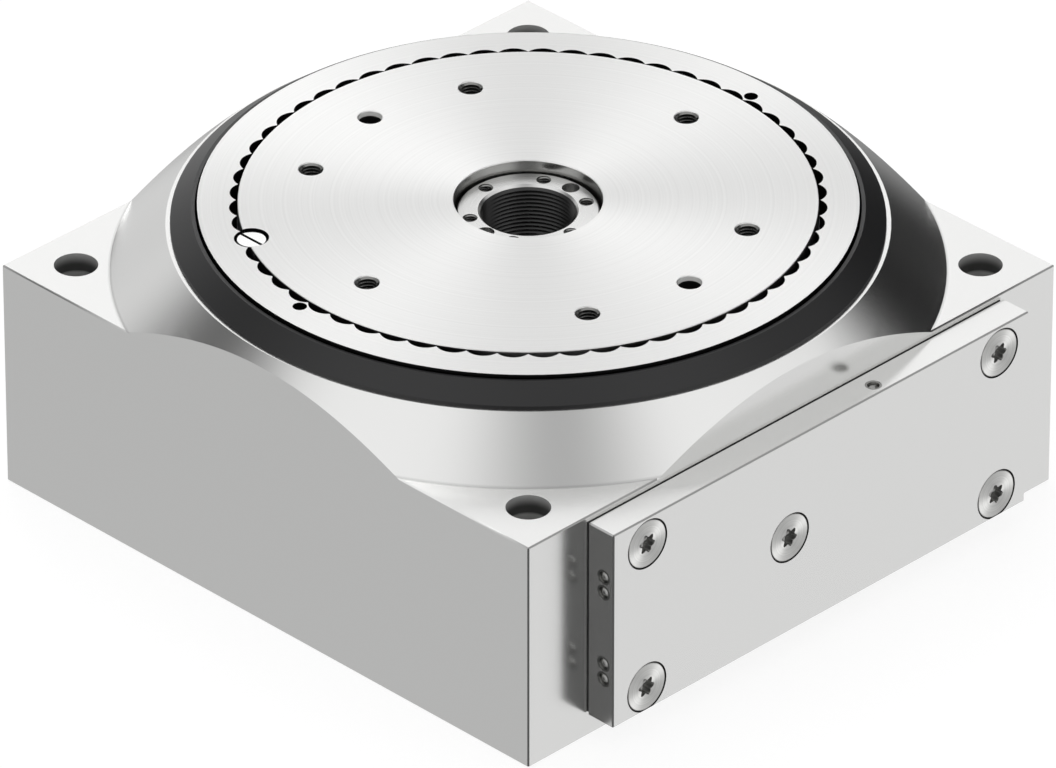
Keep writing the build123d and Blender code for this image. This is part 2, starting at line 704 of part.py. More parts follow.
def drive_pawl():
    """Sliding pawl with a tapered nose, drawn back out of the notches."""
    tip = WHEEL_IN_R + IN_NOTCH_DEPTH - NOTCH_END_GAP - PAWL_TRAVEL
    bottom_half = IN_NOTCH_HALF - IN_NOTCH_SLOPE * IN_NOTCH_DEPTH
    tip_half = bottom_half + IN_NOTCH_SLOPE * NOTCH_END_GAP - NOTCH_SIDE_GAP
    root_half = tip_half + IN_NOTCH_SLOPE * NOSE_LENGTH
    side = PAWL_WIDTH / 2 - RUNNING_FIT
    front = tip - NOSE_LENGTH
    half_outline = [(PAWL_REAR_X, side), (front, side), (front, root_half), (tip, tip_half)]
    outline = half_outline + [(x, -y) for x, y in half_outline[::-1]]
    face = make_face(Polyline(*outline, close=True))
    return slab(face, WHEEL_TOP - PAWL_T + RUNNING_FIT, WHEEL_TOP - RUNNING_FIT)


def coil(radius, wire_r, length, start, direction):
    """Open helical spring of square wire from a start point along a direction."""
    pitch = (length - 2 * wire_r) / SPRING_TURNS
    path = Helix(pitch, length - 2 * wire_r, radius)
    section = Plane(origin=path @ 0, z_dir=path % 0) * Rectangle(2 * wire_r, 2 * wire_r)
    spring = Pos(0, 0, wire_r) * sweep(section, path=path, is_frenet=True)
    return Plane(origin=start, z_dir=direction).location * spring


def pawl_spring():
    """Compression spring behind the pawl."""
    start = (PAWL_SLOT_X + SPRING_END_GAP, 0, WHEEL_TOP - PAWL_T / 2)
    length = PAWL_SPRING_ROOM - 2 * SPRING_END_GAP
    return coil(PAWL_SPRING_R, PAWL_SPRING_WIRE_R, length, start, (1, 0, 0))


# Racks and pistons


def rack_middle(side):
    """Middle of a rack along Y at rest; the pinion starts at one end of its swing."""
    return -side * STROKE / 2


def rack_outline(side):
    """Toothed outline of a rack in plan, for the cylinder at x = side * CYLINDER_X."""
    middle = rack_middle(side)
    half_pitch_t = RACK_PITCH / 4 - BACKLASH / 4
    tip_half = half_pitch_t - MODULE * tan(PRESSURE_ANGLE)
    root_half = half_pitch_t + DEDENDUM * tan(PRESSURE_ANGLE)
    tip_x = PITCH_R - MODULE
    root_x = PITCH_R + DEDENDUM
    centre_index = round(middle / RACK_PITCH - 0.5)
    points = [(root_x, middle - PISTON_CLEAR_Y)]
    for k in range(-(RACK_TEETH // 2), RACK_TEETH // 2 + 1):
        y = (centre_index + k + 0.5) * RACK_PITCH
        points += [(root_x, y - root_half), (tip_x, y - tip_half)]
        points += [(tip_x, y + tip_half), (root_x, y + root_half)]
    back_x = CYLINDER_X + RACK_BAR_R
    points += [(root_x, middle + PISTON_CLEAR_Y), (back_x, middle + PISTON_CLEAR_Y)]
    points += [(back_x, middle - PISTON_CLEAR_Y)]
    return make_face(Polyline(*[(side * x, y) for x, y in points], close=True))


def rack(side):
    """Round bar with rack teeth on the side of the pinion."""
    middle = rack_middle(side)
    low, high = CYLINDER_Z - RACK_BAR_R, CYLINDER_Z + RACK_BAR_R
    start = (side * CYLINDER_X, middle - PISTON_CLEAR_Y, CYLINDER_Z)
    bar = rod(RACK_BAR_R, start, (0, 1, 0), 2 * PISTON_CLEAR_Y)
    body = slab(rack_outline(side), low, high) & bar
    threads = []
    for end in (-1, 1):
        face = (side * CYLINDER_X, middle + end * PISTON_CLEAR_Y, CYLINDER_Z)
        reach = PISTON_SCREW_GRIP + THREAD_RUNOUT
        threads.append(rod(PISTON_SCREW_R + THREAD_FIT, face, (0, -end, 0), reach))
    return body - threads


def piston_planes(side):
    """Planes at the inner faces of a rack's two pistons, Z pointing outwards."""
    middle = rack_middle(side)
    return [
        Plane(
            origin=(side * CYLINDER_X, middle + end * PISTON_CLEAR_Y, CYLINDER_Z),
            x_dir=(1, 0, 0),
            z_dir=(0, end, 0),
        )
        for end in (-1, 1)
    ]


def pistons(side):
    """Two pistons with seal grooves and counterbored screw holes."""
    outer = CYLINDER_R - RUNNING_FIT
    groove = outer - SEAL_DEPTH
    low = (PISTON_T - SEAL_T) / 2
    seat = PISTON_T - PISTON_SCREW_HEAD_T - HEAD_SINK
    piston = turned(
        [
            (PISTON_SCREW_R + SCREW_GAP, 0),
            (outer, 0),
            (outer, low),
            (groove, low),
            (groove, low + SEAL_T),
            (outer, low + SEAL_T),
            (outer, PISTON_T),
            (PISTON_SCREW_HEAD_R + SCREW_GAP, PISTON_T),
            (PISTON_SCREW_HEAD_R + SCREW_GAP, seat),
            (PISTON_SCREW_R + SCREW_GAP, seat),
        ]
    )
    return Compound(children=[plane.location * piston for plane in piston_planes(side)])


def piston_seals(side):
    """Square-section seals in the piston grooves."""
    low = (PISTON_T - SEAL_T) / 2 + SEAL_SIDE_GAP
    inner = CYLINDER_R - RUNNING_FIT - SEAL_DEPTH + TURNED_FIT
    outer = CYLINDER_R - RUNNING_FIT / 2
    seal = ring(inner, outer, low, low + SEAL_T - 2 * SEAL_SIDE_GAP)
    return Compound(children=[plane.location * seal for plane in piston_planes(side)])


def piston_screws(side):
    """Socket screws through the pistons into the rack."""
    seat = PISTON_T - PISTON_SCREW_HEAD_T - HEAD_SINK
    screw = cap_screw(
        PISTON_SCREW_R,
        PISTON_SCREW_HEAD_R,
        PISTON_SCREW_HEAD_T,
        (0, 0, seat),
        (0, 0, -1),
        seat + PISTON_SCREW_GRIP,
    )
    return Compound(children=[plane.location * screw for plane in piston_planes(side)])


def end_plugs():
    """Plugs in the cylinder mouths, each with a seal groove and an air hole."""
    plugs = []
    for side, (x, z) in zip((-1, 1), outlet_points()):
        mouth = (side * CYLINDER_X, -BLOCK_HALF, CYLINDER_Z)
        body = rod(CYLINDER_R - TURNED_FIT, mouth, (0, 1, 0), END_PLUG_LENGTH)
        start = (side * CYLINDER_X, -BLOCK_HALF + END_PLUG_LENGTH / 2, CYLINDER_Z)
        band = rod(CYLINDER_R, start, (0, 1, 0), SEAL_T)
        core = rod(CYLINDER_R - SEAL_DEPTH, start, (0, 1, 0), SEAL_T)
        air = rod(CHANNEL_R, (x, -BLOCK_HALF, z), (0, 1, 0), END_PLUG_LENGTH)
        plugs.append(body - (band - core) - air)
    return Compound(children=plugs)


def end_plug_seals():
    """Square-section seals of the end plugs."""
    seals = []
    for side in (-1, 1):
        y = -BLOCK_HALF + END_PLUG_LENGTH / 2 + SEAL_SIDE_GAP
        seal = ring(
            CYLINDER_R - SEAL_DEPTH + TURNED_FIT,
            CYLINDER_R - TURNED_FIT,
            0,
            SEAL_T - 2 * SEAL_SIDE_GAP,
        )
        place = Plane(origin=(side * CYLINDER_X, y, CYLINDER_Z), z_dir=(0, 1, 0))
        seals.append(place.location * seal)
    return Compound(children=seals)


def end_bumpers():
    """Soft rings that stop the pistons at both ends of each cylinder."""
    rings = []
    for side in (-1, 1):
        for start in (-CYLINDER_END_Y, CYLINDER_END_Y - BUMPER_T):
            place = Plane(origin=(side * CYLINDER_X, start, CYLINDER_Z), z_dir=(0, 1, 0))
            rings.append(place.location * ring(BUMPER_IN_R, BUMPER_OUT_R, 0, BUMPER_T))
    return Compound(children=rings)


# Locking bolt


def lock_bolt():
    """Bolt with a tapered nose and its own piston, drawn back out of the notches."""
    tip = WHEEL_OUT_R - OUT_NOTCH_DEPTH + NOTCH_END_GAP + LOCK_TRAVEL
    bottom_half = OUT_NOTCH_HALF - OUT_NOTCH_SLOPE * OUT_NOTCH_DEPTH
    tip_half = bottom_half + OUT_NOTCH_SLOPE * NOTCH_END_GAP - NOTCH_SIDE_GAP
    shoulder = tip + (BOLT_R - tip_half) / OUT_NOTCH_SLOPE
    half_outline = [(tip_half, tip), (BOLT_R, shoulder), (BOLT_R, LOCK_PISTON_Y)]
    outline = half_outline + [(-x, y) for x, y in half_outline[::-1]]
    plan = make_face(Polyline(*outline, close=True))
    body = slab(plan, LOCK_Z - BOLT_R, LOCK_Z + BOLT_R)
    body = body & rod(BOLT_R, (0, tip, LOCK_Z), (0, 1, 0), LOCK_PISTON_Y - tip)
    head_start = (0, LOCK_PISTON_Y, LOCK_Z)
    return body + rod(LOCK_PISTON_R - RUNNING_FIT, head_start, (0, 1, 0), LOCK_PISTON_T)


def lock_spring():
    """Compression spring between the bolt's piston and the cap."""
    start = LOCK_PISTON_Y + LOCK_PISTON_T + SPRING_END_GAP
    length = BLOCK_HALF - CAP_T - SPRING_END_GAP - start
    return coil(LOCK_SPRING_R, LOCK_SPRING_WIRE_R, length, (0, start, LOCK_Z), (0, 1, 0))


def lock_cap():
    """Slotted cap, flush with the back face, that closes the bolt's bore."""
    start = (0, BLOCK_HALF - CAP_T, LOCK_Z)
    body = rod(LOCK_PISTON_R - RUNNING_FIT, start, (0, 1, 0), CAP_T)
    reach = LOCK_PISTON_R
    slot = block(
        (-reach, BLOCK_HALF - CAP_T / 2, LOCK_Z - CAP_SLOT_T / 2),
        (reach, BLOCK_HALF, LOCK_Z + CAP_SLOT_T / 2),
    )
    return body - slot


# Bearing


def race_points(face_r, land_r, groove_r):
    """Ring section with a 90 degree groove, as (radius, height) points."""
    half = abs(land_r - groove_r)
    return [
        (face_r, BEARING_Z),
        (land_r, BEARING_Z),
        (land_r, BEARING_MID - half),
        (groove_r, BEARING_MID),
        (land_r, BEARING_MID + half),
        (land_r, BEARING_TOP),
        (face_r, BEARING_TOP),
    ]


def groove_reach():
    """Distance of a groove's bottom from the pitch circle."""
    return (2 * ROLLER_R + 2 * ROLLER_GAP) / sqrt(2)


def bearing_inner_ring():
    """Inner race on the carrier's sleeve."""
    land = BEARING_PITCH_R - RACE_SPLIT / 2
    return turned(race_points(BEARING_IN_R, land, BEARING_PITCH_R - groove_reach()))


def bearing_outer_ring():
    """Outer race in the housing."""
    land = BEARING_PITCH_R + RACE_SPLIT / 2
    return turned(race_points(BEARING_OUT_R, land, BEARING_PITCH_R + groove_reach()))


def bearing_rollers():
    """Rollers crossed alternately at 45 degrees."""
    rollers = []
    for k in range(ROLLER_COUNT):
        a = radians(360 * k / ROLLER_COUNT)
        lean = 1 if k % 2 else -1
        axis = Vector(cos(a), sin(a), lean).normalized()
        centre = Vector(BEARING_PITCH_R * cos(a), BEARING_PITCH_R * sin(a), BEARING_MID)
        start = centre - axis * ROLLER_LENGTH / 2
        rollers.append(rod(ROLLER_R, start, axis, ROLLER_LENGTH))
    return Compound(children=rollers)


def roller_cage():
    """Thin cage between the races, with one window for each roller."""
    half_height = BEARING_T / 2 - CAGE_RAIL / 2
    window_z = half_height - CAGE_RAIL
    window_y = ROLLER_R + CAGE_WINDOW_GAP
    band = ring(
        BEARING_PITCH_R - CAGE_T / 2,
        BEARING_PITCH_R + CAGE_T / 2,
        BEARING_MID - half_height,
        BEARING_MID + half_height,
    )
    window = block(
        (BEARING_PITCH_R - 2 * CAGE_T, -window_y, BEARING_MID - window_z),
        (BEARING_PITCH_R + 2 * CAGE_T, window_y, BEARING_MID + window_z),
    )
    turns = [Rot(0, 0, 360 * k / ROLLER_COUNT) * window for k in range(ROLLER_COUNT)]
    return band - turns


def clamp_screw_points(z):
    """Centres of the clamp ring's screws."""
    return between_points(CLAMP_SCREW_COUNT, SEAT_R - CLAMP_SCREW_IN, z)


def clamp_ring():
    """Ring that holds the outer race down."""
    body = ring(BEARING_OUT_R - CLAMP_GRIP, SEAT_R - TURNED_FIT, BEARING_TOP, CLAMP_TOP)
    tools = []
    for p in clamp_screw_points(CLAMP_TOP):
        tools.append(rod(CLAMP_SCREW_R + SCREW_GAP, p, (0, 0, -1), CLAMP_T))
        tools.append(sunk_head(FLAT_HEAD_RATIO * CLAMP_SCREW_R, CLAMP_SCREW_R, p, (0, 0, -1)))
    return body - tools


def clamp_screws():
    """Countersunk screws of the clamp ring."""
    length = CLAMP_T + SMALL_SCREW_GRIP
    return flush_screws(CLAMP_SCREW_R, clamp_screw_points(CLAMP_TOP), (0, 0, -1), length)


def cover_ring():
    """Black ring that slopes from a lip beside the plate to the housing's rim."""
    wall_r = SEAT_R - TURNED_FIT
    lip_r = RING_R + LIP_GAP
    lip_z = RING_TOP - LIP_DROP
    shoulder_z = RIM_Z + SHOULDER_RISE
    return turned(
        [
            (wall_r - RING_WALL, CLAMP_TOP),
            (wall_r, CLAMP_TOP),
            (wall_r, shoulder_z),
            (lip_r + LIP_LAND, lip_z),
            (lip_r, lip_z),
            (lip_r, lip_z - LIP_T),
            (wall_r - RING_WALL, shoulder_z - LIP_T / 2),
        ]
    )


# Turning table


def carrier():
    """Turntable carrier: flange under the plate and sleeve for the bearing."""
    sleeve_r = BEARING_IN_R - TURNED_FIT
    shoulder_r = BEARING_PITCH_R - CARRIER_SHOULDER_IN
    body = turned(
        [
            (CARRIER_BORE_R, CARRIER_Z),
            (sleeve_r - SLEEVE_WALL, CARRIER_Z),
            (sleeve_r - SLEEVE_WALL, WHEEL_TOP),
            (sleeve_r, WHEEL_TOP),
            (sleeve_r, BEARING_TOP),
            (shoulder_r, BEARING_TOP),
            (shoulder_r, FLANGE_Z),
            (CARRIER_R, FLANGE_Z),
            (CARRIER_R, FLANGE_TOP),
            (SEAL_SEAT_R, FLANGE_TOP),
            (SEAL_SEAT_R, SEAL_Z),
            (CARRIER_BORE_R, SEAL_Z),
        ]
    )
    tools = []
    for p in plate_screw_points(CARRIER_Z):
        tools.append(rod(PLATE_SCREW_R + SCREW_GAP, p, (0, 0, 1), CARRIER_T))
        tools.append(rod(counterbore_r(PLATE_SCREW_R), p, (0, 0, 1), 2 * PLATE_SCREW_R))
    for p in ring_screw_points(FLANGE_Z):
        tools.append(rod(RING_SCREW_R + SCREW_GAP, p, (0, 0, 1), FLANGE_T))
        tools.append(sunk_head(FLAT_HEAD_RATIO * RING_SCREW_R, RING_SCREW_R, p, (0, 0, 1)))
    depth = SMALL_SCREW_GRIP + THREAD_RUNOUT
    for p in wheel_screw_points(WHEEL_TOP):
        tools.append(rod(WHEEL_SCREW_R + THREAD_FIT, p, (0, 0, 1), depth))
    return body - tools


def plate_screw_points(z):
    """Centres of the screws from the carrier into the plate."""
    return between_points(PLATE_SCREW_COUNT, PLATE_SCREW_CIRCLE_R, z)


def plate_screws():
    """Socket screws from below into the plate."""
    points = plate_screw_points(CARRIER_Z + 2 * PLATE_SCREW_R)
    length = CARRIER_T - 2 * PLATE_SCREW_R + SMALL_SCREW_GRIP - SCREW_SHORT
    return Compound(
        children=[small_cap_screw(PLATE_SCREW_R, p, (0, 0, 1), length) for p in points]
    )


def ring_screw_points(z):
    """Centres of the screws from the carrier into the index ring."""
    return between_points(RING_SCREW_COUNT, RING_R - RING_SCREW_IN, z)


def ring_screws():
    """Countersunk screws from below into the index ring."""
    length = FLANGE_T + SMALL_SCREW_GRIP - SCREW_SHORT
    return flush_screws(RING_SCREW_R, ring_screw_points(FLANGE_Z), (0, 0, 1), length)


def key_point(z):
    """Centre of the key screw on the seam of plate and ring."""
    a = radians(KEY_ANGLE)
    r = PLATE_R - KEY_IN
    return (r * cos(a), r * sin(a), z)


def key_hole():
    """Threaded hole, half in the plate and half in the index ring."""
    return rod(KEY_R + THREAD_FIT, key_point(PLATE_TOP), (0, 0, -1), KEY_DEPTH + PLATE_STEP)


def rotary_plate():
    """Table plate with its fixing holes and the centre bore."""
    edge = PLATE_EDGE_CHAMFER
    body = turned(
        [
            (PLATE_BORE_R, FLANGE_TOP),
            (PLATE_R, FLANGE_TOP),
            (PLATE_R, PLATE_TOP - edge),
            (PLATE_R - edge, PLATE_TOP),
            (PLATE_BORE_R + edge, PLATE_TOP),
            (PLATE_BORE_R, PLATE_TOP - edge),
        ]
    )
    tools = [key_hole()]
    threads = circle_points(PLATE_THREAD_COUNT, PLATE_CIRCLE_R, PLATE_TOP)
    dowels = circle_points(DOWEL_COUNT, PLATE_CIRCLE_R, PLATE_TOP, PLATE_DOWEL_ANGLE)
    holes = [(p, PLATE_THREAD_R) for p in threads] + [(p, PLATE_DOWEL_R) for p in dowels]
    for p, radius in holes:
        tools.append(rod(radius, p, (0, 0, -1), PLATE_T))
        tools.append(sunk_head(radius + HOLE_CHAMFER, radius, p, (0, 0, -1)))
    for p in plate_screw_points(FLANGE_TOP):
        tools.append(rod(PLATE_SCREW_R + THREAD_FIT, p, (0, 0, 1), SMALL_SCREW_GRIP))
    return body - tools


def pocket_outline():
    """Inner outline of the index ring: arcs from cusp to cusp."""
    cusp_r = PLATE_R + RING_GAP
    half = radians(NOTCH_ANGLE / 2)
    chord = cusp_r * sin(half)
    reach = cusp_r * cos(half) - sqrt(POCKET_R**2 - chord**2) + POCKET_R
    arcs = []
    for k in range(NOTCHES):
        a = radians(NOTCH_ANGLE * k)
        start = (cusp_r * cos(a - half), cusp_r * sin(a - half))
        middle = (reach * cos(a), reach * sin(a))
        end = (cusp_r * cos(a + half), cusp_r * sin(a + half))
        arcs.append(ThreePointArc(start, middle, end))
    return make_face(arcs)


def index_ring():
    """Outer ring with round pockets, the key hole and two jacking holes."""
    body = slab(Circle(RING_R) - pocket_outline(), FLANGE_TOP, RING_TOP)
    tools = [key_hole()]
    for p in circle_points(JACK_COUNT, PLATE_R + JACK_OUT, RING_TOP, JACK_ANGLE):
        tools.append(rod(JACK_R, p, (0, 0, -1), JACK_DEPTH))
    for p in ring_screw_points(FLANGE_TOP):
        tools.append(rod(RING_SCREW_R + THREAD_FIT, p, (0, 0, 1), SMALL_SCREW_GRIP))
    return body - tools


def key_screw():
    """Slotted screw that keeps the plate and the index ring at one angle."""
    x, y, top = key_point(RING_TOP + PLATE_STEP / 4)
    body = rod(KEY_R, (x, y, top), (0, 0, -1), KEY_DEPTH)
    body = chamfer(body.edges().sort_by(Axis.Z)[-1], KEY_CHAMFER)
    slot = block(
        (x - KEY_SLOT_T / 2, y - KEY_R, top - KEY_SLOT_DEPTH),
        (x + KEY_SLOT_T / 2, y + KEY_R, top),
    )
    return body - slot


def notched_outline(land_r, half, depth, slope):
    """Outline of evenly spaced tapered notches; a negative depth cuts inwards."""
    bottom = half - slope * abs(depth)
    points = [(land_r, -half), (land_r + depth, -bottom), (land_r + depth, bottom), (land_r, half)]
    return spun(points, NOTCHES)


def wheel_screw_points(z):
    """Centres of the index wheel's screws."""
    middle_r = (WHEEL_IN_R + WHEEL_OUT_R) / 2
    return circle_points(WHEEL_SCREW_COUNT, middle_r, z, NOTCH_ANGLE / 2)


def index_wheel():
    """Hardened wheel: drive notches inside, locking notches outside, collar on top."""
    outside = notched_outline(WHEEL_OUT_R, OUT_NOTCH_HALF, -OUT_NOTCH_DEPTH, OUT_NOTCH_SLOPE)
    inside = notched_outline(WHEEL_IN_R, IN_NOTCH_HALF, IN_NOTCH_DEPTH, IN_NOTCH_SLOPE)
    body = slab(outside - inside, WHEEL_Z, WHEEL_TOP)
    collar = ring(BEARING_IN_R + RUNNING_FIT, WHEEL_COLLAR_R, WHEEL_TOP, BEARING_Z)
    tools = []
    for p in wheel_screw_points(WHEEL_Z):
        tools.append(rod(WHEEL_SCREW_R + SCREW_GAP, p, (0, 0, 1), WHEEL_T))
        tools.append(rod(counterbore_r(WHEEL_SCREW_R), p, (0, 0, 1), 2 * WHEEL_SCREW_R))
    return body + collar - tools


def wheel_screws():
    """Socket screws from below through the index wheel."""
    points = wheel_screw_points(WHEEL_Z + 2 * WHEEL_SCREW_R)
    length = WHEEL_T - 2 * WHEEL_SCREW_R + SMALL_SCREW_GRIP
    return Compound(
        children=[small_cap_screw(WHEEL_SCREW_R, p, (0, 0, 1), length) for p in points]
    )


def hub_seal():
    """Rubber dust seal in the carrier, its lip just clear of the hub."""
    lip = HUB_TOP_R + SEAL_LIP_GAP
    heel = lip + SEAL_LIP_T
    outer = SEAL_SEAT_R - TURNED_FIT
    return turned(
        [
            (heel, SEAL_Z),
            (outer, SEAL_Z),
            (outer, FLANGE_TOP),
            (heel, FLANGE_TOP),
            (lip, SEAL_Z + SEAL_LIP_RISE),
        ]
    )


# Side cover


def cover_box(inset, near_y, far_y):
    """Box with the cover's outline between two distances from the housing face."""
    low = (COVER_LEFT_X + inset, -BLOCK_HALF - far_y, COVER_Z + inset)
    high = (COVER_RIGHT_X - inset, -BLOCK_HALF - near_y, COVER_TOP_Z - inset)
    return block(low, high)


def channel_ends():
    """Left-end plug places and where each channel stops, as (z, stop x)."""
    heights = [COVER_TOP_Z - drop for drop in CHANNEL_TOPS]
    return list(zip(heights, (DOWN_CHANNEL_X, DOWN_CHANNEL_X, CYLINDER_X, -CYLINDER_X)))


def outlet_points():
    """Air holes from the cover into the left and right end plugs, as (x, z)."""
    ends = channel_ends()
    return [(-CYLINDER_X, ends[3][0]), (CYLINDER_X, ends[2][0])]


def plug_places():
    """Face point and inward direction of every plug."""
    y = -BLOCK_HALF - CHANNEL_IN_Y
    places = [((COVER_LEFT_X, y, z), (1, 0, 0)) for z, stop in channel_ends()]
    top = (DOWN_CHANNEL_X, y, COVER_TOP_Z)
    return places + [(top, (0, 0, -1))]


def side_cover():
    """Thick cover with countersunk screw holes and drilled channels."""
    body = chamfer(cover_box(0, GASKET_T, GASKET_T + COVER_T).edges(), EDGE_CHAMFER)
    channel_y = -BLOCK_HALF - CHANNEL_IN_Y
    tools = []
    for x, z in cover_screw_points():
        front = (x, COVER_FACE_Y, z)
        head_r = COVER_SCREW_HEAD_R + SCREW_GAP
        tools.append(rod(COVER_SCREW_R + SCREW_GAP, front, (0, 1, 0), COVER_T))
        tools.append(sunk_head(head_r, COVER_SCREW_R, front, (0, 1, 0)))
    for z, stop in channel_ends():
        start = (COVER_LEFT_X, channel_y, z)
        length = stop + CHANNEL_R + CHANNEL_OVERRUN - COVER_LEFT_X
        tools.append(rod(CHANNEL_R, start, (1, 0, 0), length))
    down = channel_ends()[1][0]
    top, inward = plug_places()[-1]
    tools.append(rod(CHANNEL_R, top, inward, top[2] - down))
    for x, z in outlet_points():
        tools.append(rod(CHANNEL_R, (x, channel_y, z), (0, 1, 0), CHANNEL_IN_Y))
    for face, inward in plug_places():
        tools.append(rod(PLUG_R + TURNED_FIT, face, inward, PLUG_T + SCREW_SHORT))
    return body - tools


def cover_gasket():
    """Flat gasket with the screw holes and the air holes cut out."""
    body = cover_box(GASKET_INSET, 0, GASKET_T)
    tools = []
    front_y = -BLOCK_HALF - GASKET_T
    for x, z in cover_screw_points():
        tools.append(rod(COVER_SCREW_R + SCREW_GAP, (x, front_y, z), (0, 1, 0), GASKET_T))
    for x, z in outlet_points():
        tools.append(rod(CHANNEL_R, (x, front_y, z), (0, 1, 0), GASKET_T))
    return body - tools


def cover_screws():
    """Countersunk screws of the cover."""
    length = GASKET_T + COVER_T + COVER_SCREW_GRIP
    screws = [
        sunk_screw(COVER_SCREW_R, COVER_SCREW_HEAD_R, (x, COVER_FACE_Y, z), (0, 1, 0), length)
        for x, z in cover_screw_points()
    ]
    return Compound(children=screws)


def channel_plugs():
    """Expander plugs: a cup with a pressed-in ball, just below the face."""
    rise = PLUG_BALL_RISE
    ball_r = (PLUG_CUP_R**2 + rise**2) / (2 * rise)
    cup = turned(
        [
            (0, -PLUG_T),
            (PLUG_R, -PLUG_T),
            (PLUG_R, -HEAD_SINK),
            (PLUG_CUP_R, -HEAD_SINK),
            (PLUG_CUP_R, -PLUG_CUP_DEPTH),
            (0, -PLUG_CUP_DEPTH),
        ]
    )
    ball = Pos(0, 0, rise - ball_r - PLUG_CUP_DEPTH) * Sphere(ball_r)
    plug = cup + (ball & rod(PLUG_CUP_R, (0, 0, -PLUG_CUP_DEPTH), (0, 0, 1), 2 * rise))
    places = []
    for face, inward in plug_places():
        outward = Vector(*inward) * -1
        places.append(Plane(origin=face, z_dir=outward).location * plug)
    return Compound(children=places)


PARTS = {
    "housing": housing,
    "central_hub": central_hub,
    "hub_screws": hub_screws,
    "thrust_washers": thrust_washers,
    "retaining_ring": retaining_ring,
    "drive_pinion": drive_pinion,
    "pinion_bushes": pinion_bushes,
    "drive_disc": drive_disc,
    "disc_screws": disc_screws,
    "pawl_keeper": pawl_keeper,
    "keeper_screws": keeper_screws,
    "drive_pawl": drive_pawl,
    "pawl_spring": pawl_spring,
    "end_plugs": end_plugs,
    "end_plug_seals": end_plug_seals,
    "end_bumpers": end_bumpers,
    "lock_bolt": lock_bolt,
    "lock_spring": lock_spring,
    "lock_cap": lock_cap,
    "bearing_inner_ring": bearing_inner_ring,
    "bearing_outer_ring": bearing_outer_ring,
    "bearing_rollers": bearing_rollers,
    "roller_cage": roller_cage,
    "clamp_ring": clamp_ring,
    "clamp_screws": clamp_screws,
    "cover_ring": cover_ring,
    "turntable_carrier": carrier,
    "plate_screws": plate_screws,
    "ring_screws": ring_screws,
    "rotary_plate": rotary_plate,
    "index_ring": index_ring,
    "key_screw": key_screw,
    "index_wheel": index_wheel,
    "wheel_screws": wheel_screws,
    "hub_seal": hub_seal,
    "side_cover": side_cover,
    "cover_gasket": cover_gasket,
    "cover_screws": cover_screws,
    "channel_plugs": channel_plugs,
}

SIDED_PARTS = {
    "rack": rack,
    "pistons": pistons,
    "piston_seals": piston_seals,
    "piston_screws": piston_screws,
}

os.makedirs("parts", exist_ok=True)
for name, make in PARTS.items():
    export_step(make(), f"parts/{name}.step")
for name, make in SIDED_PARTS.items():
    for label, side in (("left", -1), ("right", 1)):
        export_step(make(side), f"parts/{label}_{name}.step")
print("pitch radius", PITCH_R, "stroke", round(STROKE, 3), "cylinder axes at x", CYLINDER_X)
print("overall height", PLATE_TOP, "corner height", round(CORNER_Z, 3))
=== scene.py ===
"""Looks of a pneumatic rotary indexing table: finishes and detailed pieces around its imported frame.

Metres, +Z up, origin at the centre of the base. The screwed cover is on the -Y face.
"""

import json
import logging
import math
from collections.abc import Callable
from dataclasses import dataclass, field
from enum import Enum
from functools import cache

import bmesh
import bpy
import numpy as np
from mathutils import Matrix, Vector


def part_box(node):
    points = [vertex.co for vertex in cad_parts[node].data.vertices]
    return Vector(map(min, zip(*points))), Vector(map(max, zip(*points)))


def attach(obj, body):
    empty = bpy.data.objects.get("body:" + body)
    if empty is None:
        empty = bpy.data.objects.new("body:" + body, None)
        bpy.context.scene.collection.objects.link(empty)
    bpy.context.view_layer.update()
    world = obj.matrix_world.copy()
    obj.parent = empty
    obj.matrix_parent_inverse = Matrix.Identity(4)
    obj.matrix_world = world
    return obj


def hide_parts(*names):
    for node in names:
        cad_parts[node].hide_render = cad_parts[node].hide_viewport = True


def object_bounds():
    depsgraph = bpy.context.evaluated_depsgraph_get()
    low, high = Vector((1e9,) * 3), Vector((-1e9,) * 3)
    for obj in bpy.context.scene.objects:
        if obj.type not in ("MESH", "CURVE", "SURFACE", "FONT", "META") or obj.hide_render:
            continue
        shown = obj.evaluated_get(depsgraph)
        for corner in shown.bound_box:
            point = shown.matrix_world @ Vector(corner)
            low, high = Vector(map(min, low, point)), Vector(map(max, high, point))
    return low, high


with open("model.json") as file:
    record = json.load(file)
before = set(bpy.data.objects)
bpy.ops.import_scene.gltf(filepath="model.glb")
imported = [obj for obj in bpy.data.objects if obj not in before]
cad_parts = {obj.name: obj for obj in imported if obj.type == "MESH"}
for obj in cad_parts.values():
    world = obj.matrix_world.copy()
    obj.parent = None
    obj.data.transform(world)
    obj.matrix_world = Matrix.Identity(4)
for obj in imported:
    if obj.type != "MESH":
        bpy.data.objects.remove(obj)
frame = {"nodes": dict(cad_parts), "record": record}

CAD_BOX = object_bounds()
LOG = logging.getLogger("indexing_table")
MM = 0.001
WHITE = (1.0, 1.0, 1.0, 1.0)

# Heights of the plate's face and of the corner faces, in millimetres
PLATE_TOP = CAD_BOX[1].z / MM
CORNER_HOLES = next(row for row in frame["record"]["mounts"] if row["name"] == "corner_holes")
CORNER_TOP = CORNER_HOLES["pos_m"][2] / MM

# Material slot of each CAD node
SLOTS = {row["node"]: row["material_slot"] for row in frame["record"]["subparts"]}

# How faces are picked: the most that a wall's normal rises, the least that a broken edge's normal does,
# and in millimetres that edge's band, the room round a hole and heights that count as the same
WALL_RISE = 0.3
EDGE_RISE = 0.5
EDGE_BAND = 0.6
HOLE_ROOM = 0.05
SAME_HEIGHT = 0.02

# Metres within which two corners are one, and the least that a length or a weight is divided by
SAME_PLACE = 1e-6
LEAST_LENGTH = 1e-9
LEAST_WEIGHT = 1e-20

# How many times as long as wide a milled mark is
MARK_STRETCH = 25.0

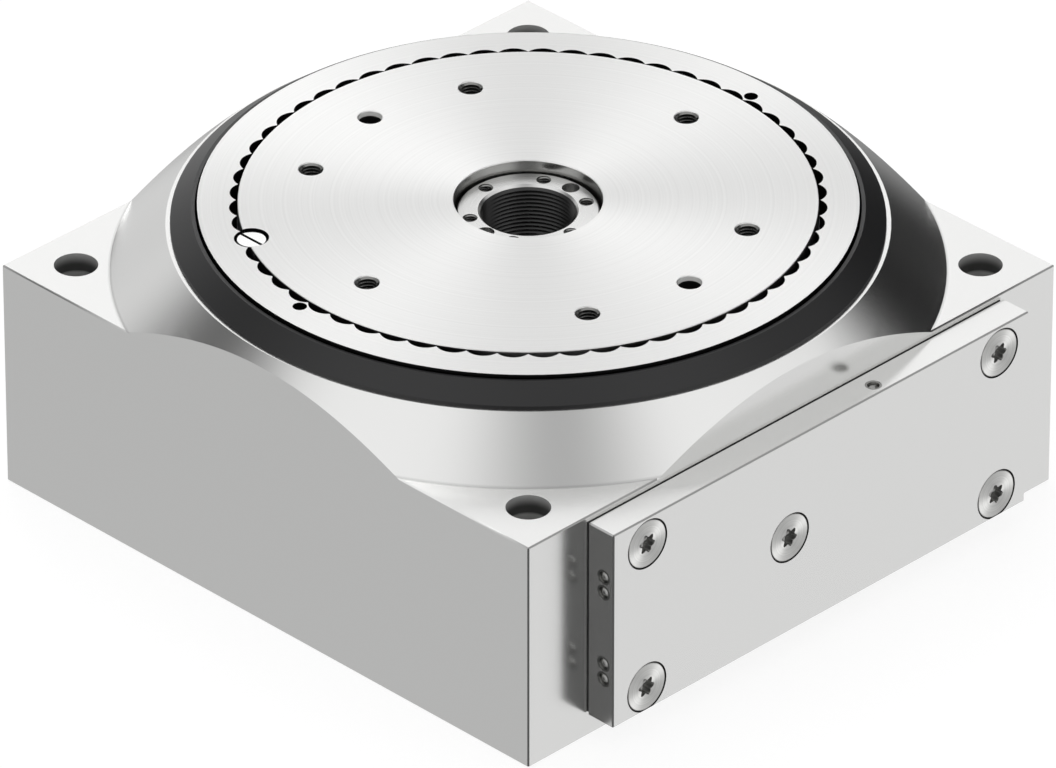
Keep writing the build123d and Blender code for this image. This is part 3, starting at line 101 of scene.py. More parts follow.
Point = tuple[float, float, float]
Pair = tuple[float, float]
Node = bpy.types.Node
Socket = bpy.types.NodeSocket
Tree = bpy.types.NodeTree


def linear(hex_code: str) -> tuple[float, float, float, float]:
    """Turns an sRGB hex colour to linear RGBA.

    Args:
        hex_code: Six digits after a hash.
    Returns:
        Linear red, green, blue and an alpha of 1.
    """
    parts = [int(hex_code[i : i + 2], 16) / 255 for i in (1, 3, 5)]
    flat = [c / 12.92 if c <= 0.04045 else ((c + 0.055) / 1.055) ** 2.4 for c in parts]
    return (flat[0], flat[1], flat[2], 1.0)


def add_node(tree: Tree, kind: str, inputs: dict | None = None, **settings: object) -> Node:
    """Adds a node with its settings, values and links.

    Args:
        tree: Tree that gets the node.
        kind: Blender's name of the node's type.
        inputs: Socket name or number to a value, an output, or a node whose first output is meant.
        settings: Properties of the node.
    Returns:
        The new node.
    """
    made = tree.nodes.new(kind)
    for name, value in settings.items():
        setattr(made, name, value)
    for key, value in (inputs or {}).items():
        source = value.outputs[0] if isinstance(value, Node) else value
        if isinstance(source, Socket):
            tree.links.new(source, made.inputs[key])
        else:
            made.inputs[key].default_value = source
    return made


def flat_place(tree: Tree) -> Socket:
    """Adds the nodes of a piece's own coordinates without their height.

    Args:
        tree: A material's tree.
    Returns:
        The place, level with the base.
    """
    place = add_node(tree, "ShaderNodeTexCoord").outputs["Object"]
    inputs = {0: place, 1: (1.0, 1.0, 0.0)}
    return add_node(tree, "ShaderNodeVectorMath", inputs, operation="MULTIPLY").outputs[0]


class ToolMarks(Enum):
    """Marks that a tool left on a metal surface."""

    TURNED = "turned"
    MILLED = "milled"
    BLASTED = "blasted"
    SPUN = "spun"


@dataclass(frozen=True)
class Finish:
    """Surface of a real material with an even, fine grain, as plastic and rubber have it.

    Line is the spacing of its marks and bump their depth, both in millimetres.
    """

    name: str
    colour: str
    roughness: float
    line: float
    bump: float
    metallic: float = field(default=0.0, kw_only=True)

    def material(self) -> bpy.types.Material:
        """Builds the material.

        Returns:
            The material.
        """
        made = bpy.data.materials.new(self.name)
        made.use_nodes = True
        tree = made.node_tree
        shader = tree.nodes["Principled BSDF"].inputs
        shader["Metallic"].default_value = self.metallic
        height = self.pattern(tree)
        least, most = self.shades()
        shade = add_node(tree, "ShaderNodeMapRange", {"Value": height, "To Min": least, "To Max": most})
        colour: tuple | Socket = linear(self.colour)
        for share in (shade.outputs[0], self.light(tree)):
            if share:
                inputs = {"Factor": 1.0, "A": colour, "B": share}
                tint = add_node(tree, "ShaderNodeMix", inputs, data_type="RGBA", blend_type="MULTIPLY")
                colour = tint.outputs["Result"]
        tree.links.new(colour, shader["Base Color"])
        low, high = (self.roughness * share for share in self.wear())
        rough = add_node(tree, "ShaderNodeMapRange", {"Value": height, "To Min": low, "To Max": high})
        tree.links.new(rough.outputs[0], shader["Roughness"])
        inputs = {"Height": height, "Strength": 1.0, "Distance": self.bump * MM}
        tree.links.new(add_node(tree, "ShaderNodeBump", inputs).outputs[0], shader["Normal"])
        return made

    def shades(self) -> Pair:
        """Returns the least and most that the marks multiply the colour by."""
        return (0.85, 1.15)

    def wear(self) -> Pair:
        """Returns what the marks multiply the roughness by, at their lowest and highest."""
        return (0.9, 1.1)

    def light(self, tree: Tree) -> Socket | None:
        """Adds the nodes of the painted share of light that each place gets, which is the same here."""
        return None

    def pattern(self, tree: Tree) -> Socket:
        """Adds the nodes of the marks.

        Args:
            tree: The material's tree.
        Returns:
            A height from 0 to 1.
        """
        place = add_node(tree, "ShaderNodeTexCoord").outputs["Object"]
        inputs = {"Vector": place, "Scale": 1.0 / (self.line * MM), "Detail": 4.0, "Roughness": 0.6}
        return add_node(tree, "ShaderNodeTexNoise", inputs).outputs[0]


@dataclass(frozen=True)
class Metal(Finish):
    """Bare or plated metal with the marks of its last tool. Contrast is how far they darken it."""

    contrast: float
    marks: ToolMarks = ToolMarks.BLASTED
    metallic: float = field(default=1.0, kw_only=True)
    anisotropy: float = field(default=0.0, kw_only=True)

    def material(self) -> bpy.types.Material:
        """Builds the material, whose mirrored light spreads across its tool marks.

        Returns:
            The material.
        """
        made = super().material()
        if self.anisotropy:
            shader = made.node_tree.nodes["Principled BSDF"].inputs
            shader["Anisotropic"].default_value = self.anisotropy
            made.node_tree.links.new(self.tangent(made.node_tree), shader["Tangent"])
        return made

    def shades(self) -> Pair:
        """Returns the least and most that the marks multiply the colour by."""
        return (1.0 - self.contrast, 1.0)

    def wear(self) -> Pair:
        """Returns what the marks multiply the roughness by, at their lowest and highest."""
        return (1.08, 0.92)

    def light(self, tree: Tree) -> Socket | None:
        """Adds the nodes of the painted shade: the share of light that each place gets.

        Args:
            tree: The material's tree.
        Returns:
            The share, or nothing where all places get the same.
        """
        if self.marks is ToolMarks.SPUN:
            # Painted shade stored on the screw: darker in its recess and under its head
            return add_node(tree, "ShaderNodeAttribute", attribute_name="lit").outputs["Fac"]
        return None

    def pattern(self, tree: Tree) -> Socket:
        """Adds the nodes of the tool marks.

        Args:
            tree: The material's tree.
        Returns:
            A height from 0 to 1.
        """
        scale = 1.0 / (self.line * MM)
        if self.marks in (ToolMarks.TURNED, ToolMarks.SPUN):
            return self.rings(tree, scale)
        place = add_node(tree, "ShaderNodeTexCoord").outputs["Object"]
        if self.marks is ToolMarks.MILLED:
            inputs = {"Vector": place, "Scale": (1.0 / MARK_STRETCH, 1.0, 1.0)}
            place = add_node(tree, "ShaderNodeMapping", inputs).outputs[0]
        inputs = {"Vector": place, "Scale": scale, "Detail": 3.0, "Roughness": 0.55}
        return add_node(tree, "ShaderNodeTexNoise", inputs).outputs[0]

    def rings(self, tree: Tree, scale: float) -> Socket:
        """Adds the nodes of lines round an axis: the piece's own, or each screw's.

        Args:
            tree: The material's tree.
            scale: Lines in a metre.
        Returns:
            A height from 0 to 1.
        """
        if self.marks is ToolMarks.SPUN:
            radius = add_node(tree, "ShaderNodeAttribute", attribute_name="spin_radius").outputs["Fac"]
            detail = 3.0
        else:
            length = add_node(tree, "ShaderNodeVectorMath", {0: flat_place(tree)}, operation="LENGTH")
            radius = length.outputs["Value"]
            detail = 5.0
        turns = add_node(tree, "ShaderNodeMath", {0: radius, 1: scale}, operation="MULTIPLY").outputs[0]
        inputs = {"W": turns, "Scale": 1.0, "Detail": detail, "Roughness": 0.6}
        return add_node(tree, "ShaderNodeTexNoise", inputs, noise_dimensions="1D").outputs[0]

    def tangent(self, tree: Tree) -> Socket:
        """Adds the nodes of the direction across the tool marks.

        Args:
            tree: The material's tree.
        Returns:
            A vector in the world's axes.
        """
        if self.marks is ToolMarks.SPUN:
            source = add_node(tree, "ShaderNodeAttribute", attribute_name="spin_ray").outputs["Vector"]
        else:
            source = flat_place(tree)
        ray = add_node(tree, "ShaderNodeVectorMath", {0: source}, operation="NORMALIZE")
        axes = {"vector_type": "VECTOR", "convert_from": "OBJECT", "convert_to": "WORLD"}
        return add_node(tree, "ShaderNodeVectorTransform", {"Vector": ray}, **axes).outputs[0]


@dataclass(frozen=True)
class FootedMetal(Metal):
    """Metal with a painted shade line where a turned cone ends on a flat face, in place of the dim
    reflection in a fillet there, with its sizes in millimetres.
    """

    foot_radius: float = 0.0
    foot_height: float = 0.0
    foot_width: float = 0.9
    foot_drop: float = 0.05
    foot_shade: float = 1.0

    def light(self, tree: Tree) -> Socket | None:
        """Adds the nodes of the painted shade line.

        Args:
            tree: The material's tree.
        Returns:
            The share of light.
        """
        radius = add_node(tree, "ShaderNodeVectorMath", {0: flat_place(tree)}, operation="LENGTH")
        inputs = {0: radius.outputs["Value"], 1: self.foot_radius * MM}
        off = add_node(tree, "ShaderNodeMath", inputs, operation="SUBTRACT")
        away = add_node(tree, "ShaderNodeMath", {0: off}, operation="ABSOLUTE")
        inputs = {"Value": away, "From Max": self.foot_width * MM, "To Min": self.foot_shade}
        share = add_node(tree, "ShaderNodeMapRange", inputs, interpolation_type="SMOOTHSTEP")
        place = add_node(tree, "ShaderNodeTexCoord").outputs["Object"]
        height = add_node(tree, "ShaderNodeSeparateXYZ", {0: place}).outputs["Z"]
        inputs = {0: height, 1: (self.foot_height - self.foot_drop) * MM}
        low = add_node(tree, "ShaderNodeMath", inputs, operation="LESS_THAN")
        return add_node(tree, "ShaderNodeMath", {0: share, 1: low}, operation="MAXIMUM").outputs[0]


@dataclass(frozen=True)
class DrilledWall(Metal):
    """Wall of upright holes with painted shade that darkens it downwards and a painted light band deeper
    down, in millimetres.
    """

    mouth: float = 0.0
    light_depth: float = 0.0
    dark_depth: float = 1.0
    dark_shade: float = 1.0
    band_depth: float = 2.0
    band_fade: float = 1.0

    def light(self, tree: Tree) -> Socket | None:
        """Adds the nodes of the painted shade and the painted light band.

        Args:
            tree: The material's tree.
        Returns:
            The share of light.
        """
        place = add_node(tree, "ShaderNodeTexCoord").outputs["Object"]
        height = add_node(tree, "ShaderNodeSeparateXYZ", {0: place}).outputs["Z"]
        depth = add_node(tree, "ShaderNodeMath", {0: self.mouth * MM, 1: height}, operation="SUBTRACT")
        fades = (
            (self.light_depth, self.dark_depth, 1.0, self.dark_shade),
            (self.band_depth - self.band_fade, self.band_depth, 0.0, 1.0),
        )
        shares = []
        for first, last, least, most in fades:
            inputs = {"Value": depth, "From Min": first * MM, "From Max": last * MM}
            inputs |= {"To Min": least, "To Max": most}
            shares.append(add_node(tree, "ShaderNodeMapRange", inputs, interpolation_type="SMOOTHSTEP"))
        return add_node(tree, "ShaderNodeMath", dict(enumerate(shares)), operation="MAXIMUM").outputs[0]


# What the housing's and the cover's aluminium share: colour, roughness, line, bump and contrast.
ALUMINIUM = ("#EDEDEC", 0.22, 0.6, 0.0006, 0.02)
# Milled and fine-blasted aluminium: a soft grey mirror, even over each flat face.
HOUSING_METAL = Metal("milled_aluminium", *ALUMINIUM)
# The same metal on the housing, with a painted shade line round the foot of its cone, in place of the dim
# reflection in a fillet there.
BLOCK_METAL = FootedMetal(
    "milled_block_aluminium", *ALUMINIUM, foot_radius=139.4, foot_height=CORNER_TOP, foot_shade=0.78
)
# Face-turned steel: a fan of light across fine concentric lines.
TURNED_STEEL = Metal(
    "face_turned_steel", "#F4F4F3", 0.3, 0.9, 0.008, 0.14, ToolMarks.TURNED, anisotropy=0.78
)
# Turned hub: the same lines, closer together; its bore looks darker through the painted shade on the thread
# in it.
HUB_STEEL = Metal("turned_hub_steel", "#E4E4E3", 0.28, 0.7, 0.001, 0.05, ToolMarks.TURNED, anisotropy=0.6)
# Turned steel of screw heads: a small bright cone of light on each, and painted shade in the recess and
# under the head.
SCREW_STEEL = Metal("turned_screw_steel", "#E9E9E7", 0.34, 0.8, 0.006, 0.4, ToolMarks.SPUN, anisotropy=0.9)
# Polished head of the key screw: a plain white mirror.
BRIGHT_STEEL = Metal("polished_steel", "#F4F4F3", 0.12, 0.5, 0.0003, 0.02)
# Cut threads: steel darkened as painted shade of the grooves, so it stays dark between its crests.
THREAD_STEEL = Metal("cut_thread_steel", "#929290", 0.26, 0.3, 0.001, 0.08)
# Main thread in the hub's bore: near-black painted shade of its deep grooves; only its crests catch the
# light.
BORE_STEEL = Metal("bore_thread_painted_shade", "#484848", 0.3, 0.3, 0.001, 0.1)
# Drilled corner holes: dull grey at the mouth, painted shade nearly black below it, and a painted light
# band further down, as from light through the hole.
DRILLED_METAL = DrilledWall(
    "drilled_aluminium", "#E6E6E5", 0.4, 0.4, 0.003, 0.1, metallic=0.62,
    mouth=CORNER_TOP, dark_depth=4.6, dark_shade=0.16, band_depth=7.6, band_fade=1.6,
)
# Reamed dowel holes: a pale ring at the mouth and black painted shade below it.
REAMED_STEEL = DrilledWall(
    "reamed_steel", "#F8F8F6", 0.3, 0.3, 0.001, 0.05, metallic=0.0,
    mouth=PLATE_TOP, light_depth=1.75, dark_depth=1.95, dark_shade=0.01, band_depth=100.0,
)
# Bored wall of the table, which mirrors the dim gap round the hub.
BORED_STEEL = Metal("bored_steel", "#B4B4B2", 0.24, 0.5, 0.001, 0.06, ToolMarks.TURNED, anisotropy=0.4)
# Broken edges: a thin painted dark reflection line, darker than the faces beside it.
EDGE_DARK_REFLECTION = Metal("broken_edge_painted_reflection", "#A2A2A1", 0.3, 0.3, 0.001, 0.05)
# Gaps and deep holes: painted shade, a near-black steel for places that hardly get light.
GAP_SHADE_STEEL = Metal("gap_steel_painted_shade", "#2C2C2C", 0.4, 0.3, 0.001, 0.1)
# Dull plugs pressed into the cover's channels.
PLUG_STEEL = Metal("pressed_plug_steel", "#A6A6A4", 0.22, 0.3, 0.001, 0.05)
# Ground and hardened inner parts: an even cool grey.
HARD_STEEL = Metal("ground_hard_steel", "#C9CACB", 0.28, 0.4, 0.0008, 0.05)
# Milled inner aluminium, paler than steel, with fine straight lines.
INNER_ALUMINIUM = Metal("machined_aluminium", "#E2E3E4", 0.3, 0.5, 0.0012, 0.05, ToolMarks.MILLED)
# Turned bronze of bushes and washers: warm brown with fine rings.
BRONZE = Metal("bearing_bronze", "#C39A62", 0.34, 0.6, 0.0012, 0.06, ToolMarks.TURNED)
# Brass sheet of the roller cage: smooth and yellow.
BRASS = Metal("brass_sheet", "#D9B968", 0.26, 0.5, 0.0006, 0.04)
# Matt black acetal of the cover ring: even, with a faint sheen on its slope.
RING_PLASTIC = Finish("black_acetal", "#1B1B1C", 0.36, 0.35, 0.0015)
# Rubber seals: matt black.
RUBBER = Finish("black_rubber", "#141414", 0.6, 0.25, 0.003)
# Cast urethane of bumpers and seals: dull amber.
URETHANE = Finish("soft_urethane", "#C8A74A", 0.5, 0.5, 0.002)

SLOT_FINISHES = {
    "cast_aluminium_satin": HOUSING_METAL,
    "turned_steel": TURNED_STEEL,
    "bright_steel": BRIGHT_STEEL,
    "zinc_plated_screw": SCREW_STEEL,
    "black_plastic": RING_PLASTIC,
    "black_rubber": RUBBER,
    "soft_polyurethane": URETHANE,
    "bronze": BRONZE,
    "brass_sheet": BRASS,
    "machined_aluminium": INNER_ALUMINIUM,
    "hardened_steel": HARD_STEEL,
}


@cache
def finish(kind: Finish) -> bpy.types.Material:
    """Returns the material of a finish, built once."""
    return kind.material()


def new_object(name: str, data: bpy.types.ID) -> bpy.types.Object:
    """Links a new object at the origin.

    Args:
        name: Name of the object.
        data: Its mesh, in place, or its camera or lamp.
    Returns:
        The object.
    """
    made = bpy.data.objects.new(name, data)
    bpy.context.scene.collection.objects.link(made)
    return made


def dress(piece: bpy.types.Object, kind: Finish) -> None:
    """Gives a piece one finish all over.

    Args:
        piece: The piece.
        kind: Its finish.
    """
    piece.data.materials.clear()
    piece.data.materials.append(finish(kind))


def paint(piece: bpy.types.Object, kind: Finish, chosen: Callable[[Vector, Vector], bool]) -> None:
    """Gives some faces of a piece a second finish.

    Args:
        piece: The piece, already dressed.
        kind: The second finish.
        chosen: Tells from a face's centre, in millimetres, and its normal whether it gets the finish.
    """
    mesh = piece.data
    mesh.materials.append(finish(kind))
    last = len(mesh.materials) - 1
    for face in mesh.polygons:
        if chosen(face.center / MM, face.normal):
            face.material_index = last


def values_of(elements: bpy.types.bpy_prop_collection, name: str, width: int, kind: type) -> np.ndarray:
    """Reads one property of all the elements of a mesh.

    Args:
        elements: Its vertices, loops or polygons.
        name: Name of the property.
        width: How many numbers each element has.
        kind: Type of the numbers.
    Returns:
        A row of numbers for each element.
    """
    values = np.zeros(len(elements) * width, kind)
    elements.foreach_get(name, values)
    return values.reshape(-1, width)


@dataclass
class Shading:
    """Exact normals for a merged CAD mesh: round where it was turned, soft over its broken edges.

    Bends are in degrees, spans and cover in radians, widths and areas in millimetres. The counts say how
    finely planes and cones are told apart.
    """

    mesh: bpy.types.Mesh
    bend: float = 28.0
    edge_bend: float = 50.0
    edge_width: float = 0.6
    edge_area: float = 400.0
    normals_in_one: float = 200.0
    planes_in_metre: float = 20000.0
    cones_in_metre: float = 5000.0
    rises_in_one: float = 50.0
    least_lean: float = 0.05
    cone_error: float = 0.04
    widest_span: float = 0.6
    least_cover: float = 2.4 * math.pi

    def apply(self) -> None:
        """Sets a normal at every corner of every triangle."""
        self.read()
        self.group()
        own = self.turned()
        self.mesh.normals_split_custom_set(self.blended(own).tolist())

    def read(self) -> None:
        """Reads the triangles into arrays."""
        self.normals = values_of(self.mesh.polygons, "normal", 3, float)
        self.areas = values_of(self.mesh.polygons, "area", 1, float).ravel()
        self.loops = values_of(self.mesh.loops, "vertex_index", 1, int).ravel()
        self.corners = values_of(self.mesh.vertices, "co", 3, float)[self.loops].reshape(-1, 3, 3)

    def group(self) -> None:
        """Groups the triangles that lie in one plane and finds the narrow ones along edges."""
        distance = (self.corners[:, 0] * self.normals).sum(1)
        keys = np.column_stack((self.normals * self.normals_in_one, distance * self.planes_in_metre))
        keys = np.round(keys).astype(int)
        group_of = np.unique(keys, axis=0, return_inverse=True)[1].ravel()
        self.group_area = np.bincount(group_of, weights=self.areas)[group_of]
        sides = np.linalg.norm(self.corners - np.roll(self.corners, 1, axis=1), axis=2)
        width = 2 * self.areas / np.maximum(sides.max(1), LEAST_LENGTH)
        self.narrow = (width < self.edge_width * MM) & (self.group_area < self.edge_area * MM * MM)

    def turned(self) -> np.ndarray:
        """Finds each corner's own normal.

        Returns:
            The normals, exact on cones and cylinders about Z that go most of the way round.
        """
        own = np.repeat(self.normals[:, None, :], 3, axis=1)
        radii = np.maximum(np.linalg.norm(self.corners[:, :, :2], axis=2), LEAST_LENGTH)
        spokes = self.corners[:, :, :2] / radii[:, :, None]
        flat = np.linalg.norm(self.normals[:, :2], axis=1)
        side = np.sign((self.normals[:, None, :2] * spokes).sum(2))
        reach = radii * side * flat[:, None] + self.corners[:, :, 2] * self.normals[:, None, 2]
        angles = np.unwrap(np.arctan2(self.corners[:, :, 1], self.corners[:, :, 0]), axis=1)
        spans = angles.max(1) - angles.min(1)
        even = reach.max(1) - reach.min(1) < self.cone_error * MM
        fits = (flat > self.least_lean) & even & (spans < self.widest_span)
        keys = np.column_stack((reach.min(1) * self.cones_in_metre, self.normals[:, 2] * self.rises_in_one))
        keys = np.round(keys).astype(int)
        rows, kind = np.unique(keys, axis=0, return_inverse=True)
        kind = kind.ravel()
        cover = np.bincount(kind[fits], weights=spans[fits], minlength=len(rows))
        chosen = fits & (cover[kind] > self.least_cover)
        total = np.bincount(kind[chosen], weights=self.areas[chosen], minlength=len(rows))
        rise = np.bincount(kind[chosen], weights=self.normals[chosen, 2], minlength=len(rows))
        rise = (rise / np.maximum(np.bincount(kind[chosen], minlength=len(rows)), 1))[kind[chosen]]
        out = np.sqrt(np.maximum(0.0, 1 - rise * rise))
        own[chosen, :, :2] = spokes[chosen] * (side[chosen] * out[:, None])[:, :, None]
        own[chosen, :, 2] = rise[:, None]
        self.group_area[chosen] = total[kind[chosen]]
        self.narrow[chosen] &= self.group_area[chosen] < self.edge_area * MM * MM
        return own.reshape(-1, 3)

    def blended(self, own: np.ndarray) -> np.ndarray:
        """Blends the normals that meet at a vertex without a real edge between them.

        Args:
            own: Each corner's own normal.
        Returns:
            Each corner's blended normal.
        """
        order = np.argsort(self.loops, kind="stable")
        counts = np.bincount(self.loops)
        firsts = np.cumsum(counts) - counts
        repeats = counts[self.loops[order]]
        left = np.repeat(order, repeats)
        steps = np.arange(len(left)) - np.repeat(np.cumsum(repeats) - repeats, repeats)
        right = order[np.repeat(firsts[self.loops[order]], repeats) + steps]
        one, other = left // 3, right // 3
        match = (self.normals[one] * self.normals[other]).sum(1)
        soft = self.narrow[one] | self.narrow[other]
        limit = np.where(soft, math.cos(math.radians(self.edge_bend)), math.cos(math.radians(self.bend)))
        weight = np.where(match > limit, self.group_area[other] ** 2, 0.0)
        result = np.stack([np.bincount(left, weights=weight * own[right, k]) for k in range(3)], axis=1)
        return result / np.maximum(np.linalg.norm(result, axis=1), LEAST_WEIGHT)[:, None]


def smooth_copy(node: str, body: str, kind: Finish) -> bpy.types.Object:
    """Replaces a CAD node by a merged copy of its mesh with clean shading.

    Args:
        node: The CAD node.
        body: The body that it moves with.
        kind: Its finish.
    Returns:
        The new piece.
    """
    build = bpy.data.meshes.new(f"{node}_merged")
    merge_into(frame["nodes"][node].data, build)
    piece = new_object(f"{node}_skin", build)
    build.shade_smooth()
    Shading(build).apply()
    dress(piece, kind)
    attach(piece, body)
    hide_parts(node)
    LOG.info("%s: %d faces, on %s", piece.name, len(build.polygons), body)
    return piece


def merge_into(source: bpy.types.Mesh, target: bpy.types.Mesh) -> None:
    """Merges a mesh's loose triangles at their shared corners.

    Args:
        source: Mesh of loose triangles.
        target: Empty mesh for the result.
    """
    work = bmesh.new()
    work.from_mesh(source)
    bmesh.ops.remove_doubles(work, verts=work.verts, dist=SAME_PLACE)
    work.to_mesh(target)
    work.free()
    imported = target.attributes.get("custom_normal")
    if imported:
        target.attributes.remove(imported)


def circle(count: int, radius: float, height: float, first: float = 0.0) -> list[Point]:
    """Returns evenly spaced points on a circle about Z, in the unit of its sizes.

    Args:
        count: Number of points.
        radius: Radius of the circle.
        height: Height of the circle.
        first: Angle of the first point in degrees.
    Returns:
        The points.
    """
    angles = [math.radians(first + 360 * k / count) for k in range(count)]
    return [(radius * math.cos(a), radius * math.sin(a), height) for a in angles]


@dataclass(frozen=True)
class TopEdge:
    """Broken edge along the top of a front, below a height in millimetres."""

    top: float

    def __call__(self, place: Vector, normal: Vector) -> bool:
        """Tells whether a face is on the edge.

        Args:
            place: The face's centre in millimetres.
            normal: Its normal.
        Returns:
            True if it is.
        """
        near = self.top - EDGE_BAND < place.z < self.top
        return near and normal.y < -EDGE_RISE and normal.z > EDGE_RISE


@dataclass(frozen=True)
class HoleWalls:
    """Walls of upright holes of one radius, in millimetres."""

    holes: list[Point]
    radius: float

    def __call__(self, place: Vector, normal: Vector) -> bool:
        """Tells whether a face is on one of the walls.

        Args:
            place: The face's centre in millimetres.
            normal: Its normal.
        Returns:
            True if it is.
        """
        nearest = min(math.hypot(place.x - x, place.y - y) for x, y, _ in self.holes)
        return abs(normal.z) < WALL_RISE and nearest < self.radius + HOLE_ROOM


@dataclass(frozen=True)
class Panel:
    """A round soft panel or dark card of the studio, seen in one direction.

    It is full up to the inner angle and fades out up to the outer one, both in degrees.
    """

    name: str
    direction: Point
    inner: float
    outer: float
    level: float

    def over(self, tree: Tree, way: Socket, below: float | Socket) -> Socket:
        """Lays the panel over what is there.

        Args:
            tree: The world's tree.
            way: Direction of the ray.
            below: Brightness without the panel.
        Returns:
            Brightness with the panel.
        """
        inputs = {0: way, 1: Vector(self.direction).normalized()}
        facing = add_node(tree, "ShaderNodeVectorMath", inputs, operation="DOT_PRODUCT").outputs["Value"]
        angle = add_node(tree, "ShaderNodeMath", {0: facing}, operation="ARCCOSINE")
        inputs = {"Value": angle, "To Min": 1.0, "To Max": 0.0}
        inputs |= {"From Min": math.radians(self.inner), "From Max": math.radians(self.outer)}
        share = add_node(tree, "ShaderNodeMapRange", inputs, interpolation_type="SMOOTHSTEP")
        inputs = {"Factor": share, "A": below, "B": self.level}
        return add_node(tree, "ShaderNodeMix", inputs, data_type="FLOAT").outputs[0]


# What the bare metal mirrors. The camera itself sees plain white.
SKY_LEVEL = 0.98
PANELS = (
    Panel("floor", (0.0, 0.0, -1.0), 50.0, 88.0, 0.6),
    Panel("floor on the left", (-0.6, 0.6, -0.53), 25.0, 50.0, 0.545),
    Panel("floor on the right", (0.6, -0.6, -0.53), 12.0, 40.0, 0.75),
    Panel("dark floor before the near corner", (-0.6, -0.6, -0.53), 8.0, 34.0, 0.075),
    Panel("low card on the right", (0.74, -0.09, -0.67), 8.0, 22.0, 0.3),
    Panel("low card in front", (0.29, -0.93, -0.22), 8.0, 22.0, 0.3),
    Panel("low lamp on the right", (0.82, -0.485, -0.31), 6.0, 17.0, 1.9),
    Panel("low lamp in front", (0.37, -0.54, -0.76), 6.0, 17.0, 1.9),
    Panel("grey wall behind", (0.3, 0.95, -0.05), 10.0, 40.0, 0.72),
    Panel("dim frame of the main panel", (0.6, 0.6, 0.53), 24.0, 44.0, 0.2),
    Panel("main panel", (0.6, 0.6, 0.53), 6.0, 14.0, 1.12),
    Panel("card over the front edge", (0.6, -0.16, 0.79), 9.0, 18.0, 0.0),
    Panel("lamp on the far left", (-0.85, 0.1, -0.5), 5.0, 14.0, 1.0),
    Panel("grey card in front", (0.62, -0.74, 0.3), 6.0, 22.0, 0.45),
    Panel("black card on the right", (0.98, 0.0, 0.15), 14.0, 40.0, 0.0),
    Panel("black card behind on the right", (0.94, 0.33, -0.08), 12.0, 34.0, 0.03),
    Panel("floor behind on the right", (0.75, 0.6, -0.45), 5.0, 30.0, 0.3),
    Panel("black card on the left", (-0.37, 0.79, 0.49), 3.0, 34.0, 0.09),
    Panel("grey card above the camera", (-0.27, -0.43, 0.86), 0.0, 25.0, 0.36),
    Panel("dark wall behind the camera", (-0.6, -0.6, 0.45), 10.0, 28.0, 0.12),
    Panel("lamp behind, low", (0.557, 0.804, 0.209), 5.0, 14.0, 3.9),
    Panel("panel on the right, high", (0.557, 0.309, 0.771), 5.0, 13.0, 0.9),
    Panel("lamp on the right, low", (0.804, 0.557, 0.209), 3.0, 10.0, 2.8),
    Panel("lamp behind, high", (0.309, 0.557, 0.771), 3.0, 12.0, 2.6),
    Panel("gap between the low lamps", (0.69, 0.69, 0.2), 2.0, 7.0, 0.3),
)


